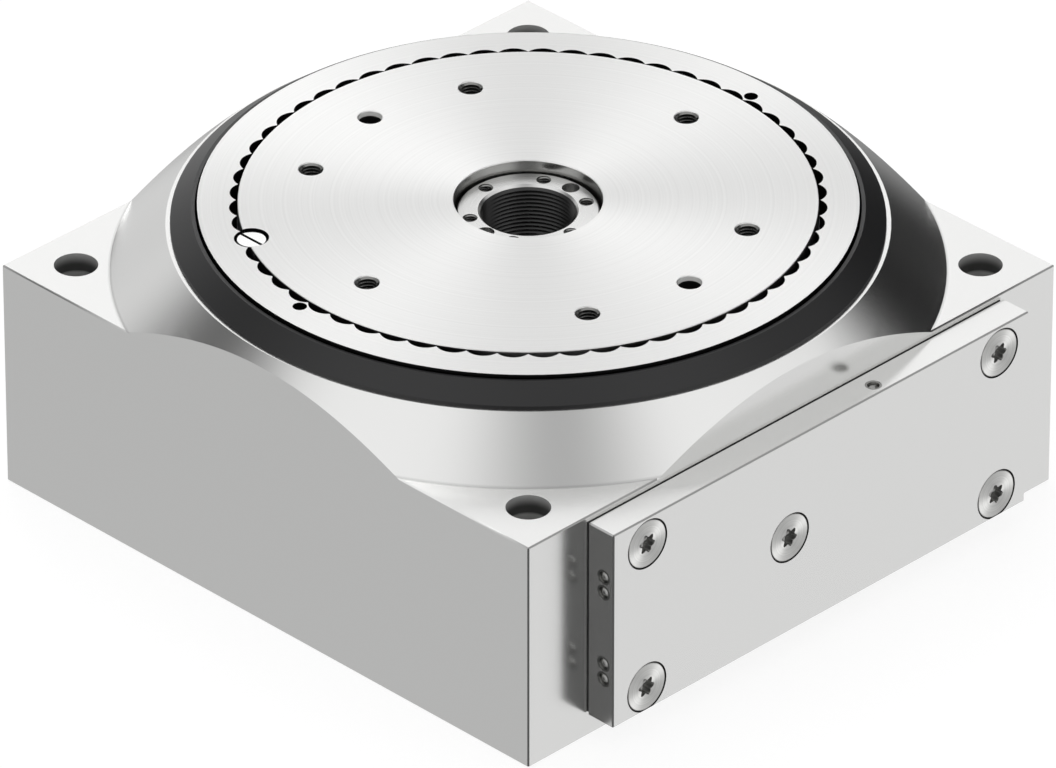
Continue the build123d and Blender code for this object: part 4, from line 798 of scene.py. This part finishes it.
@dataclass
class Studio:
    """Camera, floor, lamp and the surroundings that the metal mirrors, in metres and degrees.

    The lens, the sensor and the floor's depth are in millimetres.
    """

    lens: float = 455.9
    azimuth: float = -45.0082
    elevation: float = 31.9033
    distance: float = 4.4784
    target_height: float = 0.038024
    target_right: float = -0.0000864
    sensor: float = 36.0
    clip: float = 60.0
    floor_reach: float = 12.0
    floor_depth: float = 0.1
    floor_paper: float = 0.22
    floor_glow: float = 0.84
    floor_bounce: float = 0.7
    lamp_size: float = 1.6
    lamp_power: float = 6.0
    lamp_place: Point = (0.5, 0.6, 1.9)

    def build(self) -> None:
        """Builds the camera, the floor and the light."""
        self.add_camera()
        self.add_floor()
        self.add_world()
        self.add_lamp()
        bpy.context.scene.view_settings.view_transform = "Standard"

    def add_camera(self) -> None:
        """Places the camera at the photograph's viewing angle."""
        a = math.radians(self.azimuth)
        e = math.radians(self.elevation)
        back = Vector((math.sin(a) * math.cos(e), -math.cos(a) * math.cos(e), math.sin(e)))
        right = Vector((math.cos(a), math.sin(a), 0.0))
        target = Vector((0.0, 0.0, self.target_height)) + right * self.target_right
        data = bpy.data.cameras.new("camera")
        data.lens = self.lens
        data.sensor_width = self.sensor
        data.clip_end = self.clip
        bpy.context.scene.camera = self.aimed("camera", data, target + back * self.distance, back)

    def aimed(self, name: str, data: bpy.types.ID, place: Vector, back: Vector) -> bpy.types.Object:
        """Adds a camera or lamp that looks away from a direction.

        Args:
            name: Its name.
            data: Its camera or lamp.
            place: Where it stands.
            back: Direction behind it.
        Returns:
            The object.
        """
        made = new_object(name, data)
        made.location = place
        made.rotation_mode = "QUATERNION"
        made.rotation_quaternion = (-back).to_track_quat("-Z", "Y")
        return made

    def add_floor(self) -> None:
        """Adds a large white floor that keeps a soft shadow and hides nothing from below."""
        mesh = bpy.data.meshes.new("floor")
        reach = self.floor_reach
        depth = -self.floor_depth * MM
        corners = [(x * reach, y * reach, depth) for x, y in ((-1, -1), (1, -1), (1, 1), (-1, 1))]
        mesh.from_pydata(corners, [], [(0, 1, 2, 3)])
        floor = new_object("floor", mesh)
        made = bpy.data.materials.new("white_floor")
        made.use_nodes = True
        tree = made.node_tree
        tree.nodes.clear()
        path = add_node(tree, "ShaderNodeLightPath").outputs
        side = add_node(tree, "ShaderNodeNewGeometry").outputs["Backfacing"]
        paper = add_node(tree, "ShaderNodeBsdfDiffuse", {"Color": (*[self.floor_paper] * 3, 1.0)})
        glow = add_node(tree, "ShaderNodeEmission", {"Color": WHITE, "Strength": self.floor_glow})
        shown = add_node(tree, "ShaderNodeAddShader", {0: paper, 1: glow})
        clear = add_node(tree, "ShaderNodeBsdfTransparent")
        seen = add_node(tree, "ShaderNodeBsdfDiffuse", {"Color": (*[self.floor_bounce] * 3, 1.0)})
        for share, other in ((path["Is Camera Ray"], shown), (path["Is Glossy Ray"], clear), (side, clear)):
            seen = add_node(tree, "ShaderNodeMixShader", {0: share, 1: seen, 2: other})
        add_node(tree, "ShaderNodeOutputMaterial", {"Surface": seen})
        mesh.materials.append(made)

    def add_world(self) -> None:
        """Adds the white surroundings and, for the metal, the soft panels and dark flags of a studio."""
        world = bpy.data.worlds.new("studio")
        bpy.context.scene.world = world
        world.use_nodes = True
        tree = world.node_tree
        tree.nodes.clear()
        way = add_node(tree, "ShaderNodeTexCoord").outputs["Generated"]
        level: float | Socket = SKY_LEVEL
        for panel in PANELS:
            level = panel.over(tree, way, level)
        camera = add_node(tree, "ShaderNodeLightPath").outputs["Is Camera Ray"]
        inputs = {"Factor": camera, "A": level, "B": 1.0}
        strength = add_node(tree, "ShaderNodeMix", inputs, data_type="FLOAT")
        glow = add_node(tree, "ShaderNodeBackground", {"Color": WHITE, "Strength": strength})
        add_node(tree, "ShaderNodeOutputWorld", {"Surface": glow})

    def add_lamp(self) -> None:
        """Adds one large soft lamp above the table for shape on its dull surfaces."""
        data = bpy.data.lights.new("overhead_softbox", "AREA")
        data.shape = "DISK"
        data.size = self.lamp_size
        data.energy = self.lamp_power
        place = Vector(self.lamp_place)
        self.aimed("overhead_softbox", data, place, place).visible_glossy = False


@dataclass(frozen=True)
class ThreadSize:
    """Sizes of an inside thread in millimetres, and the steps in each of its turns."""

    radius: float
    pitch: float
    length: float
    steps: int


@dataclass
class Threads:
    """Inside threads of one size, as helical ridges on the walls of plain holes with mouths in metres.

    Fill is how much of a pitch the ridge's foot takes, and spin turns the ridges, in degrees.
    """

    name: str
    body: str
    slot: str
    mouths: list[Point]
    size: ThreadSize
    spin: Point = (0.0, 0.0, 0.0)
    kind: Metal = THREAD_STEEL
    fill: float = 0.7

    def build(self) -> None:
        """Builds the ridges of all the holes as one piece."""
        mesh = bpy.data.meshes.new(self.name)
        mesh.from_pydata(self.mouths, [], [])
        values = {
            "Radius": self.size.radius * MM,
            "Pitch": self.size.pitch * MM,
            "Length": self.size.length * MM,
            "Steps": self.size.steps,
            "Fill": self.fill,
            "Spin": tuple(math.radians(a) for a in self.spin),
            "Finish": finish(self.kind),
        }
        piece = grown(new_object(self.name, mesh), thread_tree(), values)
        piece.data.shade_flat()
        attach(piece, self.body)
        LOG.info("%s: %d faces, on %s", piece.name, len(piece.data.polygons), self.body)


# Depth of a thread's ridge as a share of its pitch
RIDGE_DEPTH = 0.61 / 1.5


def new_tree(name: str, kinds: dict[str, str]) -> tuple[Tree, bpy.types.bpy_prop_collection]:
    """Starts a geometry tree with named inputs.

    Args:
        name: Name of the tree.
        kinds: Name of each input after the geometry to the kind of its socket.
    Returns:
        The tree and its inputs' outputs in the tree.
    """
    tree = bpy.data.node_groups.new(name, "GeometryNodeTree")
    for side in ("INPUT", "OUTPUT"):
        tree.interface.new_socket("Geometry", in_out=side, socket_type="NodeSocketGeometry")
    for label, kind in kinds.items():
        tree.interface.new_socket(label, in_out="INPUT", socket_type=f"NodeSocket{kind}")
    return tree, add_node(tree, "NodeGroupInput").outputs


def end_tree(tree: Tree, copies: Node, kind: Socket) -> Tree:
    """Ends a geometry tree: makes its copies real and gives them their finish.

    Args:
        tree: The tree.
        copies: The node that makes the copies.
        kind: Their finish.
    Returns:
        The tree.
    """
    solid = add_node(tree, "GeometryNodeRealizeInstances", {"Geometry": copies})
    dressed = add_node(tree, "GeometryNodeSetMaterial", {"Geometry": solid, "Material": kind})
    add_node(tree, "NodeGroupOutput", {0: dressed})
    return tree


@cache
def thread_tree() -> Tree:
    """Builds the tree that grows a thread ridge down from each point, once.

    Returns:
        The tree.
    """
    kinds = {size: "Float" for size in ("Radius", "Pitch", "Length", "Fill")}
    kinds |= {"Steps": "Int", "Spin": "Vector", "Finish": "Material"}
    tree, start = new_tree("thread_ridges", kinds)
    ratios: dict[str, Node] = {}
    for name, operation, one, other in (
        ("turns", "DIVIDE", start["Length"], start["Pitch"]),
        ("depth", "MULTIPLY", start["Pitch"], RIDGE_DEPTH),
        ("base", "MULTIPLY", start["Pitch"], start["Fill"]),
        ("drop", "MULTIPLY", start["Length"], -1.0),
    ):
        ratios[name] = add_node(tree, "ShaderNodeMath", {0: one, 1: other}, operation=operation)
    inputs = {"Resolution": start["Steps"], "Rotations": ratios["turns"], "Height": start["Length"]}
    inputs |= {f"{end} Radius": start["Radius"] for end in ("Start", "End")}
    helix = add_node(tree, "GeometryNodeCurveSpiral", inputs)
    upright = add_node(tree, "GeometryNodeSetCurveNormal", {"Curve": helix}, mode="Z_UP")
    width = add_node(tree, "ShaderNodeMath", {0: ratios["base"], 1: math.sqrt(3)}, operation="DIVIDE")
    size = add_node(tree, "ShaderNodeCombineXYZ", {"X": ratios["depth"], "Y": width, "Z": 1.0})
    half = add_node(tree, "ShaderNodeMath", {0: ratios["depth"], 1: 0.5}, operation="MULTIPLY")
    place = add_node(tree, "ShaderNodeCombineXYZ", {"X": half})
    triangle = add_node(tree, "GeometryNodeCurvePrimitiveCircle", {"Resolution": 3, "Radius": 1.0})
    inputs = {"Geometry": triangle, "Translation": place, "Scale": size}
    profile = add_node(tree, "GeometryNodeTransform", inputs)
    inputs = {"Curve": upright, "Profile Curve": profile, "Fill Caps": True}
    ridge = add_node(tree, "GeometryNodeCurveToMesh", inputs)
    down = add_node(tree, "ShaderNodeCombineXYZ", {"Z": ratios["drop"]})
    lowered = add_node(tree, "GeometryNodeTransform", {"Geometry": ridge, "Translation": down})
    inputs = {"Points": start["Geometry"], "Instance": lowered, "Rotation": start["Spin"]}
    copies = add_node(tree, "GeometryNodeInstanceOnPoints", inputs)
    return end_tree(tree, copies, start["Finish"])


def pattern_tree() -> Tree:
    """Builds the tree that copies a template to each point, turned as the point says.

    Returns:
        The tree.
    """
    tree, start = new_tree("repeated_piece", {"Template": "Object", "Finish": "Material"})
    template = add_node(tree, "GeometryNodeObjectInfo", {"Object": start["Template"]})
    turn = add_node(tree, "GeometryNodeInputNamedAttribute", {"Name": "turn"}, data_type="FLOAT_VECTOR")
    inputs = {"Points": start["Geometry"], "Instance": template.outputs["Geometry"]}
    inputs["Rotation"] = turn.outputs["Attribute"]
    copies = add_node(tree, "GeometryNodeInstanceOnPoints", inputs)
    return end_tree(tree, copies, start["Finish"])


def grown(host: bpy.types.Object, tree: Tree, values: dict[str, object]) -> bpy.types.Object:
    """Runs a geometry tree on an object and keeps the result as its plain mesh.

    Args:
        host: Object whose points the tree reads.
        tree: The geometry tree.
        values: Value of each named input.
    Returns:
        The same object with its new mesh.
    """
    modifier = host.modifiers.new(tree.name, "NODES")
    modifier.node_group = tree
    sockets = {s.name: s.identifier for s in tree.interface.items_tree if s.in_out == "INPUT"}
    for name, value in values.items():
        modifier[sockets[name]] = value
    graph = bpy.context.evaluated_depsgraph_get()
    graph.update()
    mesh = bpy.data.meshes.new_from_object(host.evaluated_get(graph))
    host.modifiers.remove(modifier)
    host.data = mesh
    return host


def copies_at(
    name: str, template: bpy.types.Object, points: list[Point], turns: list[Point], kind: Metal
) -> bpy.types.Object:
    """Copies a template to points and removes the template.

    Args:
        name: Name of the new piece.
        template: The template, built at the origin.
        points: Where the copies go.
        turns: Rotation of each copy in degrees.
        kind: Finish of the copies.
    Returns:
        The piece.
    """
    mesh = bpy.data.meshes.new(name)
    mesh.from_pydata(points, [], [])
    turn = mesh.attributes.new("turn", "FLOAT_VECTOR", "POINT")
    turn.data.foreach_set("vector", [math.radians(a) for spin in turns for a in spin])
    values = {"Template": template, "Finish": finish(kind)}
    piece = grown(new_object(name, mesh), pattern_tree(), values)
    bpy.data.objects.remove(template)
    return piece


def lathe_mesh(name: str, rings: list[list[Point]]) -> bpy.types.Mesh:
    """Skins a closed stack of rings with quads and closes both ends.

    Args:
        name: Name of the mesh.
        rings: Rings of equal length, each in order round the axis.
    Returns:
        The mesh.
    """
    count = len(rings[0])
    points = [p for ring in rings for p in ring]
    faces: list[tuple[int, ...]] = []
    for low in range(len(rings) - 1):
        for k in range(count):
            a = low * count + k
            b = low * count + (k + 1) % count
            faces.append((a, b, b + count, a + count))
    faces.append(tuple(range(count))[::-1])
    last = (len(rings) - 1) * count
    faces.append(tuple(last + k for k in range(count)))
    mesh = bpy.data.meshes.new(name)
    mesh.from_pydata(points, [], faces)
    outward(mesh)
    return mesh


def outward(mesh: bpy.types.Mesh) -> None:
    """Turns a closed mesh's faces outwards.

    Args:
        mesh: The mesh.
    """
    work = bmesh.new()
    work.from_mesh(mesh)
    bmesh.ops.recalc_face_normals(work, faces=work.faces)
    work.to_mesh(mesh)
    work.free()


@dataclass
class SideCover:
    """Screwed cover with its gasket, screws and channel plugs, in millimetres.

    A screw is given by its X and Z and its turn in degrees, and a ring of its recess by its share of the
    recess's size and its depth.
    """

    screws: tuple[Point, ...] = (
        (-81.5, 72.8, 12.0),
        (-81.5, 17.5, 8.0),
        (-14.9, 45.15, 15.0),
        (84.5, 72.8, 5.0),
        (84.5, 17.5, 22.0),
    )
    seat_radius: float = 9.25
    seat_lean: float = 0.95
    head_radius: float = 8.65
    head_sink: float = 0.1
    head_edge: float = 0.3
    face_rings: Point = (4.4, 5.8, 7.2)
    shank_radius: float = 5.0
    length: float = 30.1
    recess_radius: float = 3.0
    lobe_rise: float = 0.58
    recess_rings: tuple[Pair, ...] = ((0.55, 4.0), (0.96, 3.5), (1.0, 0.4), (1.04, 0.1))
    recess_reach: float = 4.0
    recess_shade: float = 0.75
    cone_shade: float = 0.05
    sharp: float = 35.0
    steps: int = 96

    def build(self) -> None:
        """Builds the cover's pieces."""
        plate = smooth_copy("side_cover", "root", HOUSING_METAL)
        # Painted shade on the walls of the screw seats, and a painted dark reflection line along the top
        # edge
        paint(plate, GAP_SHADE_STEEL, self.in_seat)
        paint(plate, EDGE_DARK_REFLECTION, TopEdge(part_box("side_cover")[1].z / MM))
        smooth_copy("cover_gasket", "root", RUBBER)
        smooth_copy("channel_plugs", "root", PLUG_STEEL)
        self.add_screws()

    def in_seat(self, place: Vector, normal: Vector) -> bool:
        """Tells whether a face is on the wall of a screw's seat.

        Args:
            place: The face's centre in millimetres.
            normal: Its normal.
        Returns:
            True if it is.
        """
        near = [math.hypot(place.x - x, place.z - z) for x, z, _ in self.screws]
        return min(near) < self.seat_radius and normal.y > -self.seat_lean

    def ring(self, radius: float, depth: float, rise: float = 0.0) -> list[Point]:
        """Returns a ring of the screw, round or with six lobes.

        Args:
            radius: Its mean radius in millimetres.
            depth: Its depth in millimetres.
            rise: How far its lobes rise, in millimetres.
        Returns:
            Its points in metres.
        """
        made = []
        for k in range(self.steps):
            a = 2 * math.pi * k / self.steps
            reach = (radius + rise * math.cos(6 * a)) * MM
            made.append((reach * math.cos(a), depth * MM, reach * math.sin(a)))
        return made

    def add_screws(self) -> None:
        """Builds one screw and copies it to its five places."""
        sink = self.head_sink
        cone_end = sink + self.head_radius - self.shank_radius
        rings = [self.ring(self.recess_radius * s, d, self.lobe_rise * s) for s, d in self.recess_rings]
        rings += [self.ring(r, sink) for r in (*self.face_rings, self.head_radius - self.head_edge)]
        rings.append(self.ring(self.head_radius, sink + self.head_edge))
        rings += [self.ring(self.shank_radius, depth) for depth in (cone_end, self.length)]
        mesh = lathe_mesh("cover_screw_template", rings)
        mesh.shade_smooth()
        mesh.set_sharp_from_angle(angle=math.radians(self.sharp))
        self.mark_spin(mesh)
        template = new_object("cover_screw_template", mesh)
        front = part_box("side_cover")[0].y
        points = [(x * MM, front, z * MM) for x, z, _ in self.screws]
        turns = [(0.0, turn, 0.0) for *_, turn in self.screws]
        piece = copies_at("cover_screw_heads", template, points, turns, SCREW_STEEL)
        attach(piece, "root")
        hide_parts("cover_screws")
        LOG.info("%s: %d faces, on root", piece.name, len(piece.data.polygons))

    def mark_spin(self, mesh: bpy.types.Mesh) -> None:
        """Stores how far and in what direction each point is from the axis, and how much light it gets:
        painted shade in the recess and on the cone under the head.

        Args:
            mesh: The screw, built at the origin.
        """
        places = values_of(mesh.vertices, "co", 3, float)
        flat = places * np.array((1.0, 0.0, 1.0))
        radius = np.linalg.norm(flat, axis=1)
        depth = places[:, 1] / MM
        # Painted shade: the recess and the cone under the head get less light in their colour
        hidden = np.where(radius > self.recess_reach * MM, self.cone_shade, self.recess_shade)
        shade = np.where(depth > self.head_sink + self.head_edge - SAME_HEIGHT, hidden, 1.0)
        mesh.attributes.new("lit", "FLOAT", "POINT").data.foreach_set("value", shade)
        mesh.attributes.new("spin_radius", "FLOAT", "POINT").data.foreach_set("value", radius)
        ray = mesh.attributes.new("spin_ray", "FLOAT_VECTOR", "POINT")
        ray.data.foreach_set("vector", (flat / np.maximum(radius, LEAST_LENGTH)[:, None]).ravel())


@dataclass
class Housing:
    """Housing with its black ring and the ports at the back, in millimetres."""

    corner_place: float = 106.5
    corner_mouth: float = 7.45
    port_thread: ThreadSize = ThreadSize(4.86, 0.907, 11.0, 40)
    port_inset: float = 0.3
    port_spin: Point = (-90.0, 0.0, 0.0)
    port_places: tuple[Pair, ...] = ((-48.0, 37.0), (48.0, 37.0))

    def build(self) -> None:
        """Builds the housing's pieces."""
        block = smooth_copy("housing", "root", BLOCK_METAL)
        self.open_mouths(block)
        sides = (-self.corner_place, self.corner_place)
        corners = [(x, y, 0.0) for x in sides for y in sides]
        # Painted shade and a painted light band in the corner holes, and a painted dark reflection line
        # along the top edge
        paint(block, DRILLED_METAL, HoleWalls(corners, self.corner_mouth))
        paint(block, EDGE_DARK_REFLECTION, TopEdge(CORNER_TOP))
        smooth_copy("cover_ring", "root", RING_PLASTIC)
        smooth_copy("lock_cap", "root", PLUG_STEEL)
        smooth_copy("hub_screws", "root", HARD_STEEL)
        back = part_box("housing")[1].y - self.port_inset * MM
        mouths = [(x * MM, back, z * MM) for x, z in self.port_places]
        Threads(
            "port_threads", "root", "cast_aluminium_satin", mouths, self.port_thread, self.port_spin
        ).build()

    def open_mouths(self, block: bpy.types.Object) -> None:
        """Breaks the sharp mouths of the corner holes, which widen slightly towards the top.

        Args:
            block: The housing.
        """
        for vertex in block.data.vertices:
            place = vertex.co / MM
            centre = Vector([math.copysign(self.corner_place, side) for side in place.xy])
            arm = place.xy - centre
            if place.z > CORNER_TOP - SAME_HEIGHT and 0.0 < arm.length < self.corner_mouth:
                vertex.co.x, vertex.co.y = (centre + arm.normalized() * self.corner_mouth) * MM


@dataclass
class TurningTable:
    """Plate, index ring and key screw that turn together, in millimetres and degrees.

    The index ring gets painted shade deeper than dark_ring_depth and on its walls. The key's gap is the
    space round its head, and its bands tell the head's face from what lies below it, which gets painted
    shade.
    """

    bore_radius: float = 25.45
    hole_circle: float = 75.0
    hole_chamfer: float = 0.4
    hole_thread: ThreadSize = ThreadSize(4.0, 1.25, 11.4, 32)
    dowel_angle: float = 90.0
    dark_ring_depth: float = 2.0
    key_circle: float = 94.7
    key_angle: float = 150.0
    key_radius: float = 4.8
    key_seat_radius: float = 5.8
    key_sink: float = 0.5
    key_gap_depth: float = 4.0
    key_top_band: float = 0.5
    key_face_band: float = 0.3
    key_face_rise: float = 0.9

    def build(self) -> None:
        """Builds the turning pieces."""
        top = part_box("rotary_plate")[1].z
        plate = smooth_copy("rotary_plate", "table", TURNED_STEEL)
        # Painted shade on the walls of the threaded holes and the key's seat, and painted shade below the
        # dowel holes' pale mouths
        for kind, holes, radius in (
            (BORED_STEEL, circle(1, 0.0, 0.0), self.bore_radius),
            (GAP_SHADE_STEEL, circle(6, self.hole_circle, 0.0), self.hole_thread.radius),
            (REAMED_STEEL, circle(2, self.hole_circle, 0.0, self.dowel_angle), self.hole_thread.radius),
            (GAP_SHADE_STEEL, circle(1, self.key_circle, 0.0, self.key_angle), self.key_seat_radius),
        ):
            paint(plate, kind, HoleWalls(holes, radius))
        ring = smooth_copy("index_ring", "table", TURNED_STEEL)
        low = top / MM - self.dark_ring_depth
        # Painted shade on the floors and walls of the ring's pockets
        paint(ring, GAP_SHADE_STEEL, lambda place, normal: place.z < low or abs(normal.z) < WALL_RISE)
        self.add_key_screw()
        mouths = circle(6, self.hole_circle * MM, top - self.hole_chamfer * MM)
        Threads("plate_hole_threads", "table", "turned_steel", mouths, self.hole_thread).build()

    def add_key_screw(self) -> None:
        """Builds the polished key screw, sunk in its seat, with painted shade in the gap round it, in its
        slot and on its sides.
        """
        piece = smooth_copy("key_screw", "table", BRIGHT_STEEL)
        angle = math.radians(self.key_angle)
        centre = Vector((math.cos(angle), math.sin(angle))) * self.key_circle * MM
        top = max(vertex.co.z for vertex in piece.data.vertices)
        for vertex in piece.data.vertices:
            arm = vertex.co.xy - centre
            outer = arm.length > self.key_radius * MM
            if vertex.co.z > top - self.key_top_band * MM:
                arm *= min(1.0, self.key_radius * MM / max(arm.length, MM))
                vertex.co = (centre.x + arm.x, centre.y + arm.y, vertex.co.z - self.key_sink * MM)
            elif outer:
                vertex.co.z = min(vertex.co.z, top - self.key_gap_depth * MM)
        smoothed = piece.data.attributes.get("custom_normal")
        if smoothed:
            piece.data.attributes.remove(smoothed)
        piece.data.shade_flat()
        piece.data.update()
        face = top / MM - self.key_sink - self.key_face_band
        # Painted shade on the head's sides, its slot and the gap round it
        paint(piece, GAP_SHADE_STEEL, lambda place, normal: normal.z < self.key_face_rise or place.z < face)


@dataclass
class CentreHub:
    """Fixed hollow hub with its inside threads, in millimetres and degrees."""

    main_thread: ThreadSize = ThreadSize(16.0, 1.5, 28.5, 96)
    main_lead: float = 0.8
    main_spin: Point = (0.0, 0.0, 225.0)
    main_fill: float = 0.96
    small_thread: ThreadSize = ThreadSize(2.5, 0.8, 11.6, 24)
    small_lead: float = 0.1
    small_circle: float = 20.0
    small_angle: float = 30.0

    def build(self) -> None:
        """Builds the hub and its threads."""
        hub = smooth_copy("central_hub", "root", HUB_STEEL)
        holes = circle(6, self.small_circle, 0.0, self.small_angle)
        # Painted shade on the walls of the small threaded holes
        paint(hub, GAP_SHADE_STEEL, HoleWalls(holes, self.small_thread.radius))
        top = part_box("central_hub")[1].z
        centre = [(0.0, 0.0, top - self.main_lead * MM)]
        Threads(
            "hub_centre_thread", "root", "turned_steel", centre, self.main_thread,
            self.main_spin, BORE_STEEL, self.main_fill,
        ).build()
        mouths = circle(6, self.small_circle * MM, top - self.small_lead * MM, self.small_angle)
        Threads("hub_small_threads", "root", "turned_steel", mouths, self.small_thread).build()


@dataclass
class InnerWorks:
    """Pieces inside the housing, whose shapes are right as they are."""

    finishes: dict[str, Finish] = field(default_factory=SLOT_FINISHES.copy)

    def build(self) -> None:
        """Dresses every CAD node that no piece replaces."""
        kept = {name: node for name, node in frame["nodes"].items() if not node.hide_render}
        for name, node in kept.items():
            dress(node, self.finishes[SLOTS[name]])
        LOG.info("inner pieces dressed: %s", ", ".join(kept))


def main() -> None:
    """Builds the studio and every sub-assembly in order."""
    logging.basicConfig(level=logging.INFO, format="%(message)s")
    Studio().build()
    for assembly in (Housing(), SideCover(), TurningTable(), CentreHub(), InnerWorks()):
        assembly.build()


if __name__ == "__main__":
    main()
